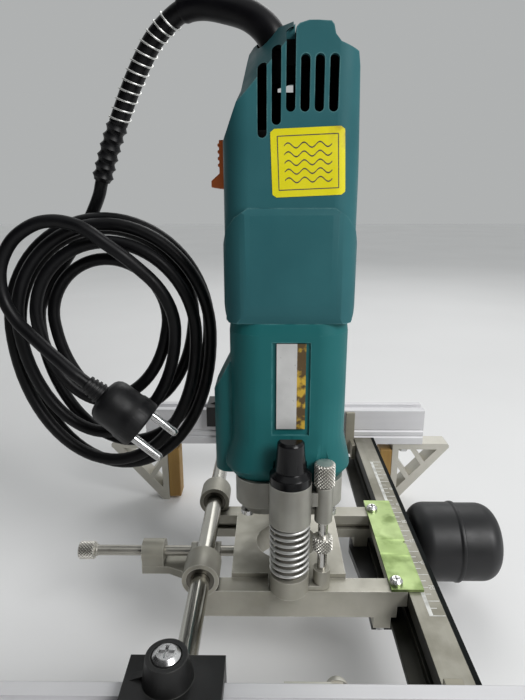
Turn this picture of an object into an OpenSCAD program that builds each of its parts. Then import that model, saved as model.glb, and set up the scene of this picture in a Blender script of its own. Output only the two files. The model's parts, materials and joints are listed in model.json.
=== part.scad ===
// Hinge mortiser: a plunging motor head on a cross slide and carriage, on a clamp frame.
// Lengths are in millimetres. While the pieces are drawn, the spindle axis is x = y = 0 and
// the rail's top is z = 0; placed() then moves everything to the part's own frame.

/* [Frame] */
// Length of each cross beam
beam_len = 240; // [225:1:280]
// Height of a beam
beam_h = 32; // [28:1:38]
// Depth of a beam
beam_d = 20; // [18:1:26]
// Clear length between the two beams
frame_gap = 266; // [256:1:320]
// Front beam to spindle axis, as the carriage stands
front_reach = 117; // [112:1:122]
// Height of the rail's top above the work
rail_top = 63; // [58:1:80]
// Beam top above the rail's top
beam_rise = 25; // [23:1:27]
// Sideways shift of the beams from the spindle axis
beam_shift = 2.5; // [0:0.5:5]

/* [Guide bar and rail] */
// Diameter of the round guide bar
bar_d = 10; // [8:0.5:12]
// Guide bar to spindle axis
bar_x = 46.5; // [44:0.5:50]
// Guide bar axis above the rail's top
bar_z = 6.5; // [6:0.5:9]
// Width of a bar block
block_w = 36.5; // [30:0.5:44]
// Diameter of a bar block's screw boss at its top
block_boss_d = 15.4; // [14:0.2:17]
// Spindle axis to the rail's near edge
rail_x = 62.5; // [61:0.5:68]
// Width of the rail's top
rail_w = 17.3; // [15:0.1:22]
// Height of the rail
rail_h = 22; // [20:0.5:23]
// Reach of the rail's lower flange
rail_flange = 8; // [6:0.5:8]

/* [Jaws] */
// Distance between facing pads
throat = 177; // [170:1:190]
// Middle of the throat from the spindle axis
throat_shift = -1.5; // [-4:0.5:2]
// Width of a jaw along the beam
jaw_w = 49; // [42:1:56]
// Thickness of a jaw across the beam
jaw_d = 16; // [12:1:20]
// Wall of a jaw's flanges
jaw_wall = 5.5; // [4:0.5:7]
// Thickness of a clamp pad
pad_t = 10.5; // [6:0.5:14]
// Diameter of a clamp bolt
clamp_bolt_d = 6; // [5:0.5:8]

/* [Carriage] */
// Height of the carriage's cross members
member_h = 16; // [15:0.5:17]
// Thickness of a cross member
member_t = 10.5; // [9:0.5:12]
// Clear window between the members
window = 59; // [57:0.5:60]
// Outside diameter of a collar on the bar
collar_d = 19.5; // [18:0.5:22]
// Length of a collar
collar_len = 16; // [12:0.5:20]
// Thickness of the index plate
index_t = 1.6; // [1:0.1:2.5]
// Grip diameter
grip_d = 50; // [44:1:54]
// Grip length, cap included
grip_len = 56; // [50:1:64]

/* [Cross slide] */
// Width of the saddle
saddle_w = 62; // [56:1:66]
// Diameter of the cutter opening
cutter_hole_d = 36; // [30:1:40]
// Diameter of the side stop rod
side_rod_d = 6; // [5:0.5:7]
// Diameter of the knurled knob on the side stop rod
side_knob_d = 10.5; // [10:0.5:16]
// Diameter of the depth rod
depth_rod_d = 5; // [4:0.5:6]
// Diameter of the knurled depth knob and nut
depth_knob_d = 10.6; // [9:0.2:12]

/* [Plunge columns] */
// Column axis to spindle axis
column_y = 37; // [36:0.5:40]
// Outside diameter of a post
post_d = 20.4; // [18:0.2:22]
// Height of a post above the rail's top
post_h = 10.5; // [9:0.5:17]
// Diameter of a guide rod
guide_d = 15; // [12:0.5:16]
// Outside diameter of a plunge spring
spring_d = 21; // [19:0.5:23]
// Wire of a plunge spring
spring_wire = 1.6; // [1.2:0.1:2]
// Turns of a plunge spring
spring_turns = 8; // [6:1:9]
// Bottom of a sleeve above the rail's top
sleeve_z = 40.7; // [39:0.1:43]
// Height of a sleeve
sleeve_h = 22; // [20:0.5:26]

/* [Motor] */
// Underside of the head casting above the rail's top
head_z = 35.3; // [33:0.1:38]
// Height of the head casting
head_h = 21.7; // [20:0.1:24]
// Width of the lower housing
lower_w = 59.4; // [58.4:0.2:64]
// Depth of the lower housing
lower_d = 58; // [56:0.5:62]
// Height of the lower housing
lower_h = 84; // [76:1:90]
// Width of the grip bulge on the upper housing
bulge_w = 63.5; // [62:0.5:68]
// Height of the grip bulge
bulge_h = 53; // [46:1:56]
// Width of the upper housing above the bulge
upper_w = 62; // [58.8:0.2:63]
// Depth of the upper housing above the bulge
upper_d = 56; // [52:0.5:60]
// Height of the upper housing
upper_h = 127.6; // [124:0.2:134]
// Wall of the housings
shell_t = 2.8; // [2:0.1:3.5]
// Width of a cooling slot
vent_w = 4; // [3:0.1:4.6]
// Distance from slot to slot
vent_pitch = 6.1; // [5.8:0.1:6.6]
// Diameter of the spindle
spindle_d = 12; // [10:0.5:14]
// Bore of the collet
collet_bore = 8; // [6:0.5:9]

/* [Cable] */
// Diameter of the cord
cord_d = 7; // [6:0.1:7.5]
// Diameter of the smooth boot where it leaves the housing
boot_d = 14; // [12:0.5:15]
// Diameter of the ribbed sleeve over its ribs
sleeve_od = 9; // [8:0.1:9.4]
// Ribs on the sleeve
sleeve_ribs = 20; // [10:1:24]
// Wire of the guard spring
guard_wire = 1.2; // [0.8:0.1:1.6]
// Turns of the guard spring
guard_turns = 13; // [8:1:14]
// Strands side by side in the hanging coil
coil_strands = 7; // [5:1:7]
// Width of the hanging coil over all
coil_w = 124; // [118:1:126]
// Height of the hanging coil over all
coil_h = 157; // [150:1:160]
// Diameter of the plug's face
plug_d = 28; // [25:0.5:32]

/* [Hidden] */
$fn = 64;

// Clearances: sliding faces, running bores, seated pieces
slide_gap = 0.3;
bore_gap = 0.05;
seat_gap = 0.05;
eps = 0.01;

// Where the beams and the throat lie
front_y = -front_reach;
rear_y = frame_gap - front_reach;
beam_z = beam_rise - beam_h;
throat_half = throat / 2;
jaw_out = throat_half + pad_t + jaw_w;
jaw_h = rail_top + beam_z - seat_gap;
mid_x = throat_shift;
mid_y = (front_y + rear_y) / 2;

// Beam section: top groove, bottom T-slot, side lines, hollow core
groove_w = 7;
groove_h = 3;
slot_w = clamp_bolt_d + 0.8;
slot_lip = 3;
slot_head_w = 12;
slot_head_h = 5;
core_wall = 3;
line_w = 1.6;
line_heights = [7.5, 13];
rail_lift = 0.2;

// Bar blocks
block_t = 5;
block_skirt = 7;
block_off = 1.2;
boss_rise = 10;
boss_flare = 3.6;
boss_in = 3;
boss_off = -1;
boss_dish = 1.6;
lug_w = 18;
block_screw_d = 5;
block_screw_in = 10;
block_head_d = 10.4;
block_head_h = 3.2;
block_top = beam_rise + block_t;
boss_top = block_top + boss_rise;

// Jaw truss and its bolt
bolt_in = 11;
bolt_head_d = 9;
bolt_head_h = 4;
tnut_w = 11.4;
tnut_len = 11;
tnut_h = 4.6;
pad_drop = 6;
pad_end = 3;
web_tilt = 34;
web_places = [0.35, 0.6];

// Carriage
member_y = window / 2;
web_w = 7.2;
web_h = 9;
foot_w = 9;
foot_h = 6.9;
groove_z = -8;
groove_depth = 3;
tongue_h = 4;
arm_t = 5;
boss_x0 = -86;
boss_len = 13;
boss_od = 14;
bush_wall = 2.4;
collar_front = -(member_y + member_t + 0.5);
collar_rear = member_y + 5;
carriage_x1 = rail_x - slide_gap;
index_x0 = rail_x - 9;
index_x1 = rail_x + 8;
index_y0 = -(member_y + member_t);
index_y1 = member_y + member_t + 5.5;
index_screw_x = rail_x - 5.5;
index_screw_d = 3;
index_head_d = 7;

// Grip and its bracket
grip_x0 = rail_x + rail_w + 2.6;
grip_y = 33;
grip_z = -20.6;
grip_split = 0.53;
grip_round = 11;
grip_step = 0.7;
spigot_d = 14;
spigot_len = 20;
grip_bolt_d = 6;
bracket_t = 4.5;
bracket_z = -(member_h + foot_h) - bracket_t;
bracket_bolt_d = 5;
bracket_bolt_y = member_y + 3.1;
bracket_head_d = 8.5;
bracket_head_h = 2;
bracket_edge = 3.8;

// Saddle and its stops
saddle_top = 2.6;
saddle_drop = 14;
saddle_y = member_y - slide_gap;
tab_w = 22;
stop_x = 17.2;
stop_y = -34.5;
stop_post_d = 9;
stop_post_h = 10.8;
depth_nut_z = 22;
depth_nut_h = 8;
lug_z = 39.5;
lug_h = 19.7;
lug_d = 9.2;
depth_knob_h = 12.3;
plunge = 9;
side_rod_z = -5;
side_rod_in = 10;
side_knob_x = -115;
side_knob_len = 9.4;
side_nut_af = 10;
side_nut_t = 3.5;
side_nut_x = -57;
arm_z = side_rod_z - side_nut_af / sqrt(3) - slide_gap - arm_t;
lock_nut_x = -43;

// Head and motor; the housings stand a little to the left of the spindle axis
housing_shift = -0.9;
head_w = lower_w - 2.4;
lower_z = head_z + head_h;
upper_z = lower_z + lower_h;
top_z = upper_z + upper_h;
cap_flange_h = 6.8;
cap_h = 22.4;
cap_d = 15.4;
cap_slope = 50;
spring_z = post_h;
spring_room = 1.2;
spring_h = sleeve_z - post_h;
guide_top = 51;
guide_in = 7.5;
bearing_d = 28;
bearing_h = 9;
bearing_z = head_z + 9;
upper_bearing_d = 22;
upper_bearing_h = 7;
upper_bearing_z = upper_z + 46;
stator_d = 53;
stator_h = 46;
stator_z = lower_z + 22;
stator_bore = 34;
armature_d = 32;
commutator_d = 22;
fan_d = 50;
head_screw_x = 22;
head_screw_y = 17;
head_screw_d = 4.2;
brush_rise = 13;
nut_d = 19;
nut_h = 18;
nut_z = 15;
collet_d = 12.4;
lobe_x = -39.6;
lobe_z0 = 48;
lobe_z1 = 119;

// Outline of the upper housing above its straight sides: right step, raised block, boot side
upper_corner = 12;
block_top_z = upper_h;
shoulder = [
    [upper_w / 2, 60], [upper_w / 2 - 2.1, block_top_z - 16], [upper_w / 2 - 3, block_top_z - 10.6],
    [24.6, block_top_z - 9.4],
    [20, block_top_z - 7.8], [17.6, block_top_z - 5], [16.8, block_top_z - 1.6], [15.6, block_top_z - 0.3],
    [10.5, block_top_z], [6.5, block_top_z], [2.6, block_top_z - 1.1], [0.4, block_top_z - 3.2],
    [0.4, block_top_z + 2], [-5.3, block_top_z + 3], [-10, block_top_z + 2], [13.8 - upper_w / 2, block_top_z - 2],
    [11.6 - upper_w / 2, block_top_z - 5.6], [10.8 - upper_w / 2, block_top_z - 10.6],
    [8.8 - upper_w / 2, block_top_z - 25.6], [2.4 - upper_w / 2, block_top_z - 41],
    [-upper_w / 2, block_top_z - 46]
];

// Scooped cut on the boot side: its front edge as height below the block's top, and its lean
scoop_x0 = 0.4;
scoop_drop = 3;
scoop_run = 22;
scoop_fall = 24.4;
scoop_lean = 24;
scoop_turn = atan2(scoop_fall, scoop_run);

// Cooling slots: right group straight, left group lower and cut open by the scoop
vent_x0 = 4.4;
vent_z0 = upper_h - 34.7;
vent_len = 22.5;
vent_drop = 5.2;
vent_over = 2.5;
back_slot_x = -6.5;
back_slot_z = upper_h - 17.6;
back_slot_w = 8;
back_slot_h = 3.8;

// Switch slider
switch_rise = 62;
switch_z = upper_z + switch_rise;
switch_h = 22;
switch_w = 14;
switch_t = 2.4;
switch_bump = 6.4;
switch_stem = 6;
switch_block_w = 14;
switch_block_d = 18;
switch_block_drop = 39.55;
switch_block_z = upper_bearing_z + upper_bearing_h + 1 + seat_gap;
switch_travel = 5;

// Cable route, chosen by hand: out of the housing, over, and down to the coil
lead_route = [
    [-4, 0, 250], [-7, 0, 260], [-10.3, 0, 270.5], [-19, 2.5, 278.7], [-31, 7, 283.5], [-43, 11, 286],
    [-53, 14, 284.5], [-63, 18, 278.5], [-71, 21, 270.5], [-81, 25, 255.5], [-91, 29, 237], [-97.5, 32, 224],
    [-104, 35.5, 208.5], [-107, 38, 201], [-111.5, 40.5, 193], [-117, 42.5, 184.5], [-124.5, 43, 173.5],
    [-132.5, 42.5, 162.5], [-140, 40.5, 151]
];
boot_reach = 40;
boot_last = 6;
sleeve_last = 12;
guard_last = 10;
route_steps = 4;

// Hanging coil: a bundle of strands that twist slowly, spread out at the bottom, and leave to the front
coil_x = -102.5;
coil_y = 27;
coil_z = 125;
coil_above = 0.425;
coil_rings = 24;
coil_deep = 9.4;
coil_wide = 11.5;
coil_spread = 1.2;
coil_twists = -2;
coil_from = 168;
coil_to = 45;
coil_lane = 90;
coil_leave = 80;
coil_front = 7;
tail_route = [
    [-80.5, 11.5, 162], [-88, 9.8, 169], [-96.5, 9, 175.5], [-104.5, 8.5, 181.5], [-112, 8.5, 185.5],
    [-123, 8.5, 187.5], [-134, 8.5, 185.5], [-145.5, 8.5, 178], [-153, 8.5, 166.5], [-155, 8, 155.5],
    [-153, 7, 144.5], [-147.5, 5.5, 135], [-141, 3.5, 128.7], [-130.5, 0.5, 119.7]
];
plug_end = [-110, -2, 102];
tail_straight = 5;
plug_dir = unit([0.757, 0, -0.653]);
plug_relief = 10;
plug_body = 28;
plug_roll = 30;
plug_pin_d = 4.8;
plug_pin_len = 19;
plug_pin_gap = 19;

// Frame of the finished part: middle of the base
module placed() {
    translate([-mid_x, -mid_y, rail_top]) children();
}

// Square with round corners, centred
module rounded_rect(w, d, r) {
    square([w - 2 * r, d], center = true);
    square([w, d - 2 * r], center = true);
    for (sx = [-1, 1], sy = [-1, 1]) {
        translate([sx * (w / 2 - r), sy * (d / 2 - r)]) circle(r);
    }
}

// Cylinder along X from x0 to x1
module rod_x(x0, x1, d) {
    translate([x0, 0, 0]) rotate([0, 90, 0]) cylinder(d = d, h = x1 - x0);
}

// Cylinder along Y from y0 to y1
module rod_y(y0, y1, d) {
    translate([0, y0, 0]) rotate([-90, 0, 0]) cylinder(d = d, h = y1 - y0);
}

// Cylinder with chamfered ends, on z = 0
module soft_cylinder(d, h, c) {
    rotate_extrude() polygon([
        [0, 0], [d / 2 - c, 0], [d / 2, c], [d / 2, h - c], [d / 2 - c, h], [0, h]
    ]);
}

// Pan head with a cross recess, on z = 0
module cross_head(d, h) {
    difference() {
        rotate_extrude() polygon([[0, 0], [d / 2, 0], [d / 2, h * 0.55], [d / 2 - h * 0.45, h], [0, h]]);
        for (a = [0, 90]) {
            rotate(a) translate([0, 0, h]) cube([d * 0.55, d * 0.12, h], center = true);
        }
    }
}

// Swept tube helpers
function unit(v) = v / norm(v);
function tangent(p, i) = unit(p[min(i + 1, len(p) - 1)] - p[max(i - 1, 0)]);
function square_to(v, t) = unit(v - (v * t) * t);
function spline(p, i, u) =
    let (a = p[max(i - 1, 0)], b = p[i], c = p[i + 1], d = p[min(i + 2, len(p) - 1)])
    0.5 * (2 * b + u * (c - a) + u * u * (2 * a - 5 * b + 4 * c - d) + u * u * u * (3 * b - a - 3 * c + d));
function smooth_route(p, steps) = concat(
    [for (i = [0 : len(p) - 2]) for (k = [0 : steps - 1]) spline(p, i, k / steps)],
    [p[len(p) - 1]]
);
function tube_ring(p, i, side, r, n) =
    let (t = tangent(p, i), u = square_to(side, t), v = cross(t, u))
    [for (k = [0 : n - 1]) p[i] + r * (cos(360 * k / n) * u + sin(360 * k / n) * v)];
function tube_faces(rings, n) = concat(
    [for (k = [1 : n - 2]) [0, k, k + 1]],
    [for (i = [0 : rings - 2]) for (k = [0 : n - 1])
        for (f = [[i * n + k, (i + 1) * n + k, (i + 1) * n + (k + 1) % n],
                  [i * n + k, (i + 1) * n + (k + 1) % n, i * n + (k + 1) % n]]) f],
    [for (k = [1 : n - 2]) [(rings - 1) * n, (rings - 1) * n + k + 1, (rings - 1) * n + k]]
);
function least_gap(p, d, apart) = min([
    for (i = [0 : len(p) - 1]) for (j = [i + apart : 1 : len(p) - 1]) norm(p[i] - p[j])
]) - d;

// Tube from ring i0 to i1 of a route, with its own radius at each ring
module tube(p, i0, i1, radii, sides_at, n) {
    points = [for (i = [i0 : i1]) each tube_ring(p, i, sides_at[i - i0], radii[i - i0], n)];
    polyhedron(points, tube_faces(i1 - i0 + 1, n));
}

// Tube of one radius, with its seam turned to the front
module plain_tube(p, i0, i1, r, n) {
    tube(p, i0, i1, [for (i = [i0 : i1]) r], [for (i = [i0 : i1]) [0, -1, 0]], n);
}

// Compression spring on z = 0, wound at a steady pitch
module coil_spring(d, wire, turns, h) {
    rings = 8;
    r = (d - wire) / 2;
    rise = h - 2 * spring_end - wire;
    pts = [for (i = [0 : turns * rings])
        let (a = 360 * i / rings)
        [r * cos(a), r * sin(a), spring_end + wire / 2 + rise * i / (turns * rings)]];
    sides = [for (i = [0 : turns * rings]) let (a = 360 * i / rings) [cos(a), sin(a), 0]];
    echo(spring_gap = rise / turns - wire);
    tube(pts, 0, turns * rings, [for (i = [0 : turns * rings]) wire / 2], sides, 6);
}
spring_end = 0.1;

// Cross section of a beam: depth along x, height along y
module beam_section() {
    difference() {
        translate([0, beam_h / 2]) rounded_rect(beam_d, beam_h, 1);
        translate([0, beam_h - groove_h / 2]) square([groove_w, groove_h + eps], center = true);
        translate([0, slot_lip / 2]) square([slot_w, slot_lip + eps], center = true);
        translate([0, slot_lip + slot_head_h / 2]) square([slot_head_w, slot_head_h], center = true);
        core_h = beam_h - groove_h - slot_lip - slot_head_h - 2 * core_wall;
        translate([0, slot_lip + slot_head_h + core_wall + core_h / 2])
            rounded_rect(beam_d - 2 * core_wall, core_h, 1);
        for (s = [-1, 1], h = line_heights) {
            translate([s * beam_d / 2, h]) rotate(45) square(line_w, center = true);
        }
    }
}
module block_screw_place(side) {
    y_inner = side < 0 ? front_y : rear_y;
    translate([-bar_x + boss_off, y_inner + side * boss_in, beam_rise - block_screw_in]) children();
}
module beam(y_inner, side) {
    difference() {
        translate([beam_shift - beam_len / 2, y_inner + side * beam_d / 2, beam_z])
            rotate([90, 0, 90]) linear_extrude(beam_len) beam_section();
        block_screw_place(side) translate([0, 0, -1]) cylinder(d = block_screw_d + 4 * seat_gap, h = block_screw_in + 2);
    }
}
module front_beam() {
    color("silver") placed() beam(front_y, -1);
}
module rear_beam() {
    color("silver") placed() beam(rear_y, 1);
}

module guide_bar() {
    color("lightgray") placed() translate([-bar_x, 0, bar_z])
        rod_y(front_y + seat_gap, rear_y - seat_gap, bar_d);
}

// Plastic saddle over a beam: plate, screw boss, and the lug that holds one end of the guide bar
module bar_block(y_inner, side) {
    boss_y = side * boss_in;
    plate_x = block_off - block_w / 2;
    lug_y = min(-side * block_skirt, -side * seat_gap);
    translate([-bar_x, y_inner, 0]) difference() {
        union() {
            translate([plate_x, min(-side * block_skirt, side * beam_d), beam_rise + seat_gap])
                cube([block_w, beam_d + block_skirt, block_t - seat_gap]);
            translate([plate_x, lug_y, beam_rise / 2]) cube([block_w, block_skirt - seat_gap, block_top - beam_rise / 2]);
            translate([-lug_w / 2, lug_y, bar_z]) cube([lug_w, block_skirt - seat_gap, beam_rise - bar_z]);
            translate([0, 0, bar_z]) rod_y(lug_y, lug_y + block_skirt - seat_gap, lug_w);
            translate([boss_off, boss_y, block_top - eps])
                cylinder(d1 = block_boss_d + boss_flare, d2 = block_boss_d, h = boss_rise + eps);
            translate([boss_off, boss_y, block_top - eps]) rotate([90, 0, 0]) linear_extrude(3, center = true)
                polygon([[0, 0], [0, boss_rise / 2], [plate_x - boss_off + 2, 0]]);
        }
        translate([0, 0, bar_z]) rod_y(-2 * block_skirt, 2 * block_skirt, bar_d + 2 * seat_gap);
        translate([boss_off, boss_y, beam_rise - 1]) cylinder(d = block_screw_d + 2 * seat_gap, h = 2 * block_top);
        translate([boss_off, boss_y, boss_top - boss_dish]) cylinder(d = block_head_d + 1, h = boss_rise);
    }
}
module front_bar_block() {
    color("#1c1c1e") placed() bar_block(front_y, -1);
}
module rear_bar_block() {
    color("#1c1c1e") placed() bar_block(rear_y, 1);
}
module bar_block_screws() {
    color("lightgray") placed() for (s = [-1, 1]) {
        block_screw_place(s) {
            cylinder(d = block_screw_d, h = boss_top - boss_dish - beam_rise + block_screw_in + eps);
            translate([0, 0, boss_top - boss_dish + seat_gap - beam_rise + block_screw_in])
                cross_head(block_head_d, block_head_h);
        }
    }
}

// Rail section: x from the near edge, y up from the rail's foot
module rail_section() {
    difference() {
        union() {
            square([rail_w, rail_h]);
            translate([-rail_flange, 0]) square([rail_flange + 1, 3.6]);
        }
        translate([-eps, 8]) square([3, 5]);
        translate([4.5, 3.5]) square([rail_w - 8, rail_h - 7]);
    }
}
module scale_rail() {
    color("gray") placed() translate([rail_x, rear_y - seat_gap, -rail_h - rail_lift])
        rotate([90, 0, 0]) linear_extrude(frame_gap - 2 * seat_gap) rail_section();
}
module rail_end_brackets() {
    w = 7.4;
    t = 3.5;
    color("lightgray") placed() for (s = [-1, 1]) {
        y = s < 0 ? front_y + seat_gap : rear_y - seat_gap - t;
        translate([rail_x - seat_gap - w, y, -rail_lift - 14]) cube([w, t, beam_rise + 13]);
        translate([rail_x - seat_gap - t, s < 0 ? y : y - 10, -rail_lift - 14]) cube([t, 10 + t, 13]);
    }
}
module front_stop() {
    color("gray") placed() translate([8, front_y + seat_gap, beam_rise - 8]) {
        translate([-13, 0, 0]) cube([22, 1.2, 7]);
        translate([7, 1, 3.5]) rotate([-90, 0, 0]) rotate_extrude() intersection() {
            circle(4.5);
            square([5, 5]);
        }
    }
}

// Truss jaw, drawn for the right side: x from the pad's back, y down from the beam
module jaw_section() {
    d = jaw_wall;
    tip = 1.6;
    difference() {
        polygon([
            [0, 0], [jaw_w - tip, 0], [jaw_w, -tip], [jaw_w, -d + tip], [jaw_w - tip, -d],
            [d, -jaw_h], [0, -jaw_h]
        ]);
        difference() {
            polygon([[d, -d], [jaw_w - 1.9 * d, -d], [d, -jaw_h + 2.3 * d]]);
            for (f = web_places) {
                translate([jaw_w * f, -jaw_h * (1 - f)]) rotate(web_tilt)
                    square([d * 0.75, 3 * jaw_h], center = true);
            }
        }
    }
}
module jaw(side, y_inner, outward) {
    x = throat_shift + side * (throat_half + pad_t);
    y = y_inner + outward * beam_d / 2;
    difference() {
        translate([x, y + jaw_d / 2, beam_z - seat_gap]) scale([side, 1, 1])
            rotate([90, 0, 0]) linear_extrude(jaw_d) jaw_section();
        translate([x + side * bolt_in, y, beam_z - jaw_wall - 1])
            cylinder(d = clamp_bolt_d + 2 * seat_gap, h = jaw_wall + 2);
    }
}
module pad(side, y_inner, outward) {
    x = throat_shift + side * throat_half;
    y = y_inner + outward * beam_d / 2;
    translate([min(x, x + side * (pad_t - seat_gap)), y - jaw_d / 2, -rail_top + pad_end])
        cube([pad_t - seat_gap, jaw_d, jaw_h - pad_drop - pad_end]);
}
module clamp_bolt(side, y_inner, outward) {
    x = throat_shift + side * (throat_half + pad_t + bolt_in);
    y = y_inner + outward * beam_d / 2;
    translate([x, y, beam_z]) {
        translate([0, 0, -jaw_wall - 2 * seat_gap - bolt_head_h]) cylinder(d = bolt_head_d, h = bolt_head_h, $fn = 6);
        translate([0, 0, -jaw_wall - 3 * seat_gap]) cylinder(d = clamp_bolt_d, h = jaw_wall + slot_lip + 1);
        translate([-tnut_len / 2, -tnut_w / 2, slot_lip + 0.2]) cube([tnut_len, tnut_w, tnut_h]);
    }
}
module front_left_jaw() {
    color("gainsboro") placed() jaw(-1, front_y, -1);
}
module front_right_jaw() {
    color("gainsboro") placed() jaw(1, front_y, -1);
}
module rear_left_jaw() {
    color("gainsboro") placed() jaw(-1, rear_y, 1);
}
module rear_right_jaw() {
    color("gainsboro") placed() jaw(1, rear_y, 1);
}
module front_left_pad() {
    color("peru") placed() pad(-1, front_y, -1);
}
module front_right_pad() {
    color("peru") placed() pad(1, front_y, -1);
}
module rear_left_pad() {
    color("peru") placed() pad(-1, rear_y, 1);
}
module rear_right_pad() {
    color("peru") placed() pad(1, rear_y, 1);
}
module front_left_clamp_bolt() {
    color("dimgray") placed() clamp_bolt(-1, front_y, -1);
}
module front_right_clamp_bolt() {
    color("dimgray") placed() clamp_bolt(1, front_y, -1);
}
module rear_left_clamp_bolt() {
    color("dimgray") placed() clamp_bolt(-1, rear_y, 1);
}
module rear_right_clamp_bolt() {
    color("dimgray") placed() clamp_bolt(1, rear_y, 1);
}

// Carriage casting: two members, right web and feet, collars, and the arm with the stop boss
module carriage() {
    color("darkgray") placed() difference() {
        union() {
            for (s = [-1, 1]) {
                y0 = s < 0 ? -member_y - member_t : member_y;
                translate([-bar_x, y0, -member_h]) cube([carriage_x1 - 5 + bar_x, member_t, member_h]);
                translate([-bar_x, y0, -web_h]) cube([carriage_x1 + bar_x, member_t, web_h]);
                translate([rail_x - rail_flange - slide_gap - foot_w, y0, -member_h - foot_h])
                    cube([foot_w, member_t, foot_h + 1]);
            }
            translate([carriage_x1 - web_w, -member_y - 1, -web_h]) cube([web_w, window + 2, web_h]);
            for (y = [collar_front, collar_rear]) {
                translate([-bar_x, 0, bar_z]) rod_y(y, y + collar_len, collar_d);
            }
            translate([0, 0, arm_z]) linear_extrude(arm_t) polygon([
                [boss_x0, -boss_od / 2], [boss_x0 + boss_len + 3, -boss_od / 2], [-bar_x - 15, -boss_od / 2 - 4],
                [-bar_x - 9, -member_y + 9], [-bar_x - 7, -member_y - member_t], [-bar_x + 4, -member_y - member_t],
                [-bar_x + 4, -member_y + 9], [-bar_x - 3, 0], [-bar_x - 9, boss_od / 2], [boss_x0, boss_od / 2]
            ]);
            translate([0, 0, side_rod_z]) rod_x(boss_x0, boss_x0 + boss_len, boss_od);
        }
        translate([-bar_x, 0, bar_z]) rod_y(2 * collar_front, 2 * collar_rear + 2 * collar_len,
            bar_d + 2 * bush_wall);
        translate([0, 0, side_rod_z]) rod_x(boss_x0 - 1, boss_x0 + boss_len + 1, side_rod_d + 2 * slide_gap);
        for (s = [-1, 1]) {
            translate([-saddle_w, s < 0 ? -member_y - groove_depth : member_y - eps, groove_z - tongue_h / 2])
                cube([2 * saddle_w + rail_x, groove_depth + eps, tongue_h]);
            translate([index_screw_x, s * (member_y + member_t / 2), -7])
                cylinder(d = index_screw_d + 2 * seat_gap, h = 8);
            translate([rail_x - rail_flange - slide_gap - foot_w / 2, s * bracket_bolt_y, -member_h - foot_h - 1])
                cylinder(d = bracket_bolt_d + 2 * seat_gap, h = foot_h + 6);
        }
    }
}
module bar_bushes() {
    color("goldenrod") placed() for (y = [collar_front, collar_rear]) {
        translate([-bar_x, y, bar_z]) rotate([-90, 0, 0]) difference() {
            cylinder(d = bar_d + 2 * bush_wall - 2 * seat_gap, h = collar_len);
            translate([0, 0, -1]) cylinder(d = bar_d + 2 * bore_gap, h = collar_len + 2);
        }
    }
}
module index_plate() {
    notch = 1.6;
    color("yellowgreen") placed() difference() {
        translate([index_x0, index_y0, seat_gap]) cube([index_x1 - index_x0, index_y1 - index_y0, index_t]);
        translate([index_x1, 0, 0]) cylinder(r = notch, h = 3 * index_t, $fn = 4);
        for (s = [-1, 1]) {
            translate([index_screw_x, s * (member_y + member_t / 2), -1])
                cylinder(d = index_screw_d + 4 * seat_gap, h = index_t + 2);
        }
    }
}
module index_screws() {
    color("lightgray") placed() for (s = [-1, 1]) {
        translate([index_screw_x, s * (member_y + member_t / 2), 0]) {
            translate([0, 0, -6]) cylinder(d = index_screw_d, h = 6 + index_t + 2 * seat_gap + eps);
            translate([0, 0, index_t + 2 * seat_gap]) cross_head(index_head_d, 2.8);
        }
    }
}

// Moulded bracket: plate under the rail, from the feet to the grip's spigot
module grip_bracket() {
    foot_x = rail_x - rail_flange - slide_gap - foot_w;
    end_y = member_y + member_t;
    front_end = -bracket_bolt_y - bracket_edge;
    color("#202022") placed() difference() {
        union() {
            translate([0, 0, bracket_z - seat_gap]) linear_extrude(bracket_t) polygon([
                [foot_x, front_end], [foot_x + foot_w + 4, front_end], [grip_x0 - 3, grip_y - 18],
                [grip_x0, grip_y - 18], [grip_x0, end_y + 6], [foot_x, end_y + 6], [foot_x - 3, member_y],
                [foot_x, 0]
            ]);
            translate([grip_x0 - 2.2, grip_y - 9, bracket_z - seat_gap]) cube([2.2, 18, grip_z + 9 - bracket_z]);
            translate([0, grip_y, grip_z]) rod_x(grip_x0 - 1, grip_x0 + spigot_len, spigot_d);
        }
        translate([0, grip_y, grip_z]) rod_x(grip_x0 + 2, grip_x0 + spigot_len + 1, grip_bolt_d + 2 * seat_gap);
        for (s = [-1, 1]) {
            translate([foot_x + foot_w / 2, s * bracket_bolt_y, bracket_z - 1]) {
                cylinder(d = bracket_bolt_d + 2 * seat_gap, h = bracket_t + 2);
                cylinder(d = bracket_head_d + 4 * seat_gap, h = bracket_head_h + 1);
            }
        }
    }
}
module bracket_bolts() {
    foot_x = rail_x - rail_flange - slide_gap - foot_w;
    color("lightgray") placed() for (s = [-1, 1]) {
        translate([foot_x + foot_w / 2, s * bracket_bolt_y, bracket_z]) {
            cylinder(d = bracket_head_d, h = bracket_head_h - seat_gap);
            cylinder(d = bracket_bolt_d, h = bracket_t + foot_h + 3);
        }
    }
}

// Two-part smooth grip, turned about its own axis along X
module grip_turned(profile) {
    placed() translate([grip_x0, grip_y, grip_z]) rotate([90, 0, 90]) rotate_extrude() polygon(profile);
}
function arc(cx, cy, r, a0, a1, n) =
    [for (i = [0 : n]) let (a = a0 + (a1 - a0) * i / n) [cx + r * cos(a), cy + r * sin(a)]];
module grip() {
    r = grip_d / 2;
    split = grip_len * grip_split;
    inner = spigot_d / 2 + bore_gap;
    color("#1a1a1c") grip_turned(concat(
        [[inner, 0.2]], arc(r - grip_round, grip_round, grip_round, -90, 0, 12),
        [[r, split - 3], [r + grip_step, split - 2], [r + grip_step, split], [r - 4, split], [r - 4, split - 6],
         [inner, split - 6]]
    ));
}
module grip_cap() {
    r = grip_d / 2 - 0.4;
    split = grip_len * grip_split + seat_gap;
    color("#1a1a1c") grip_turned(concat(
        [[0, split], [r, split]], arc(r - grip_round, grip_len - grip_round, grip_round, 0, 90, 12), [[0, grip_len]]
    ));
}
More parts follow.
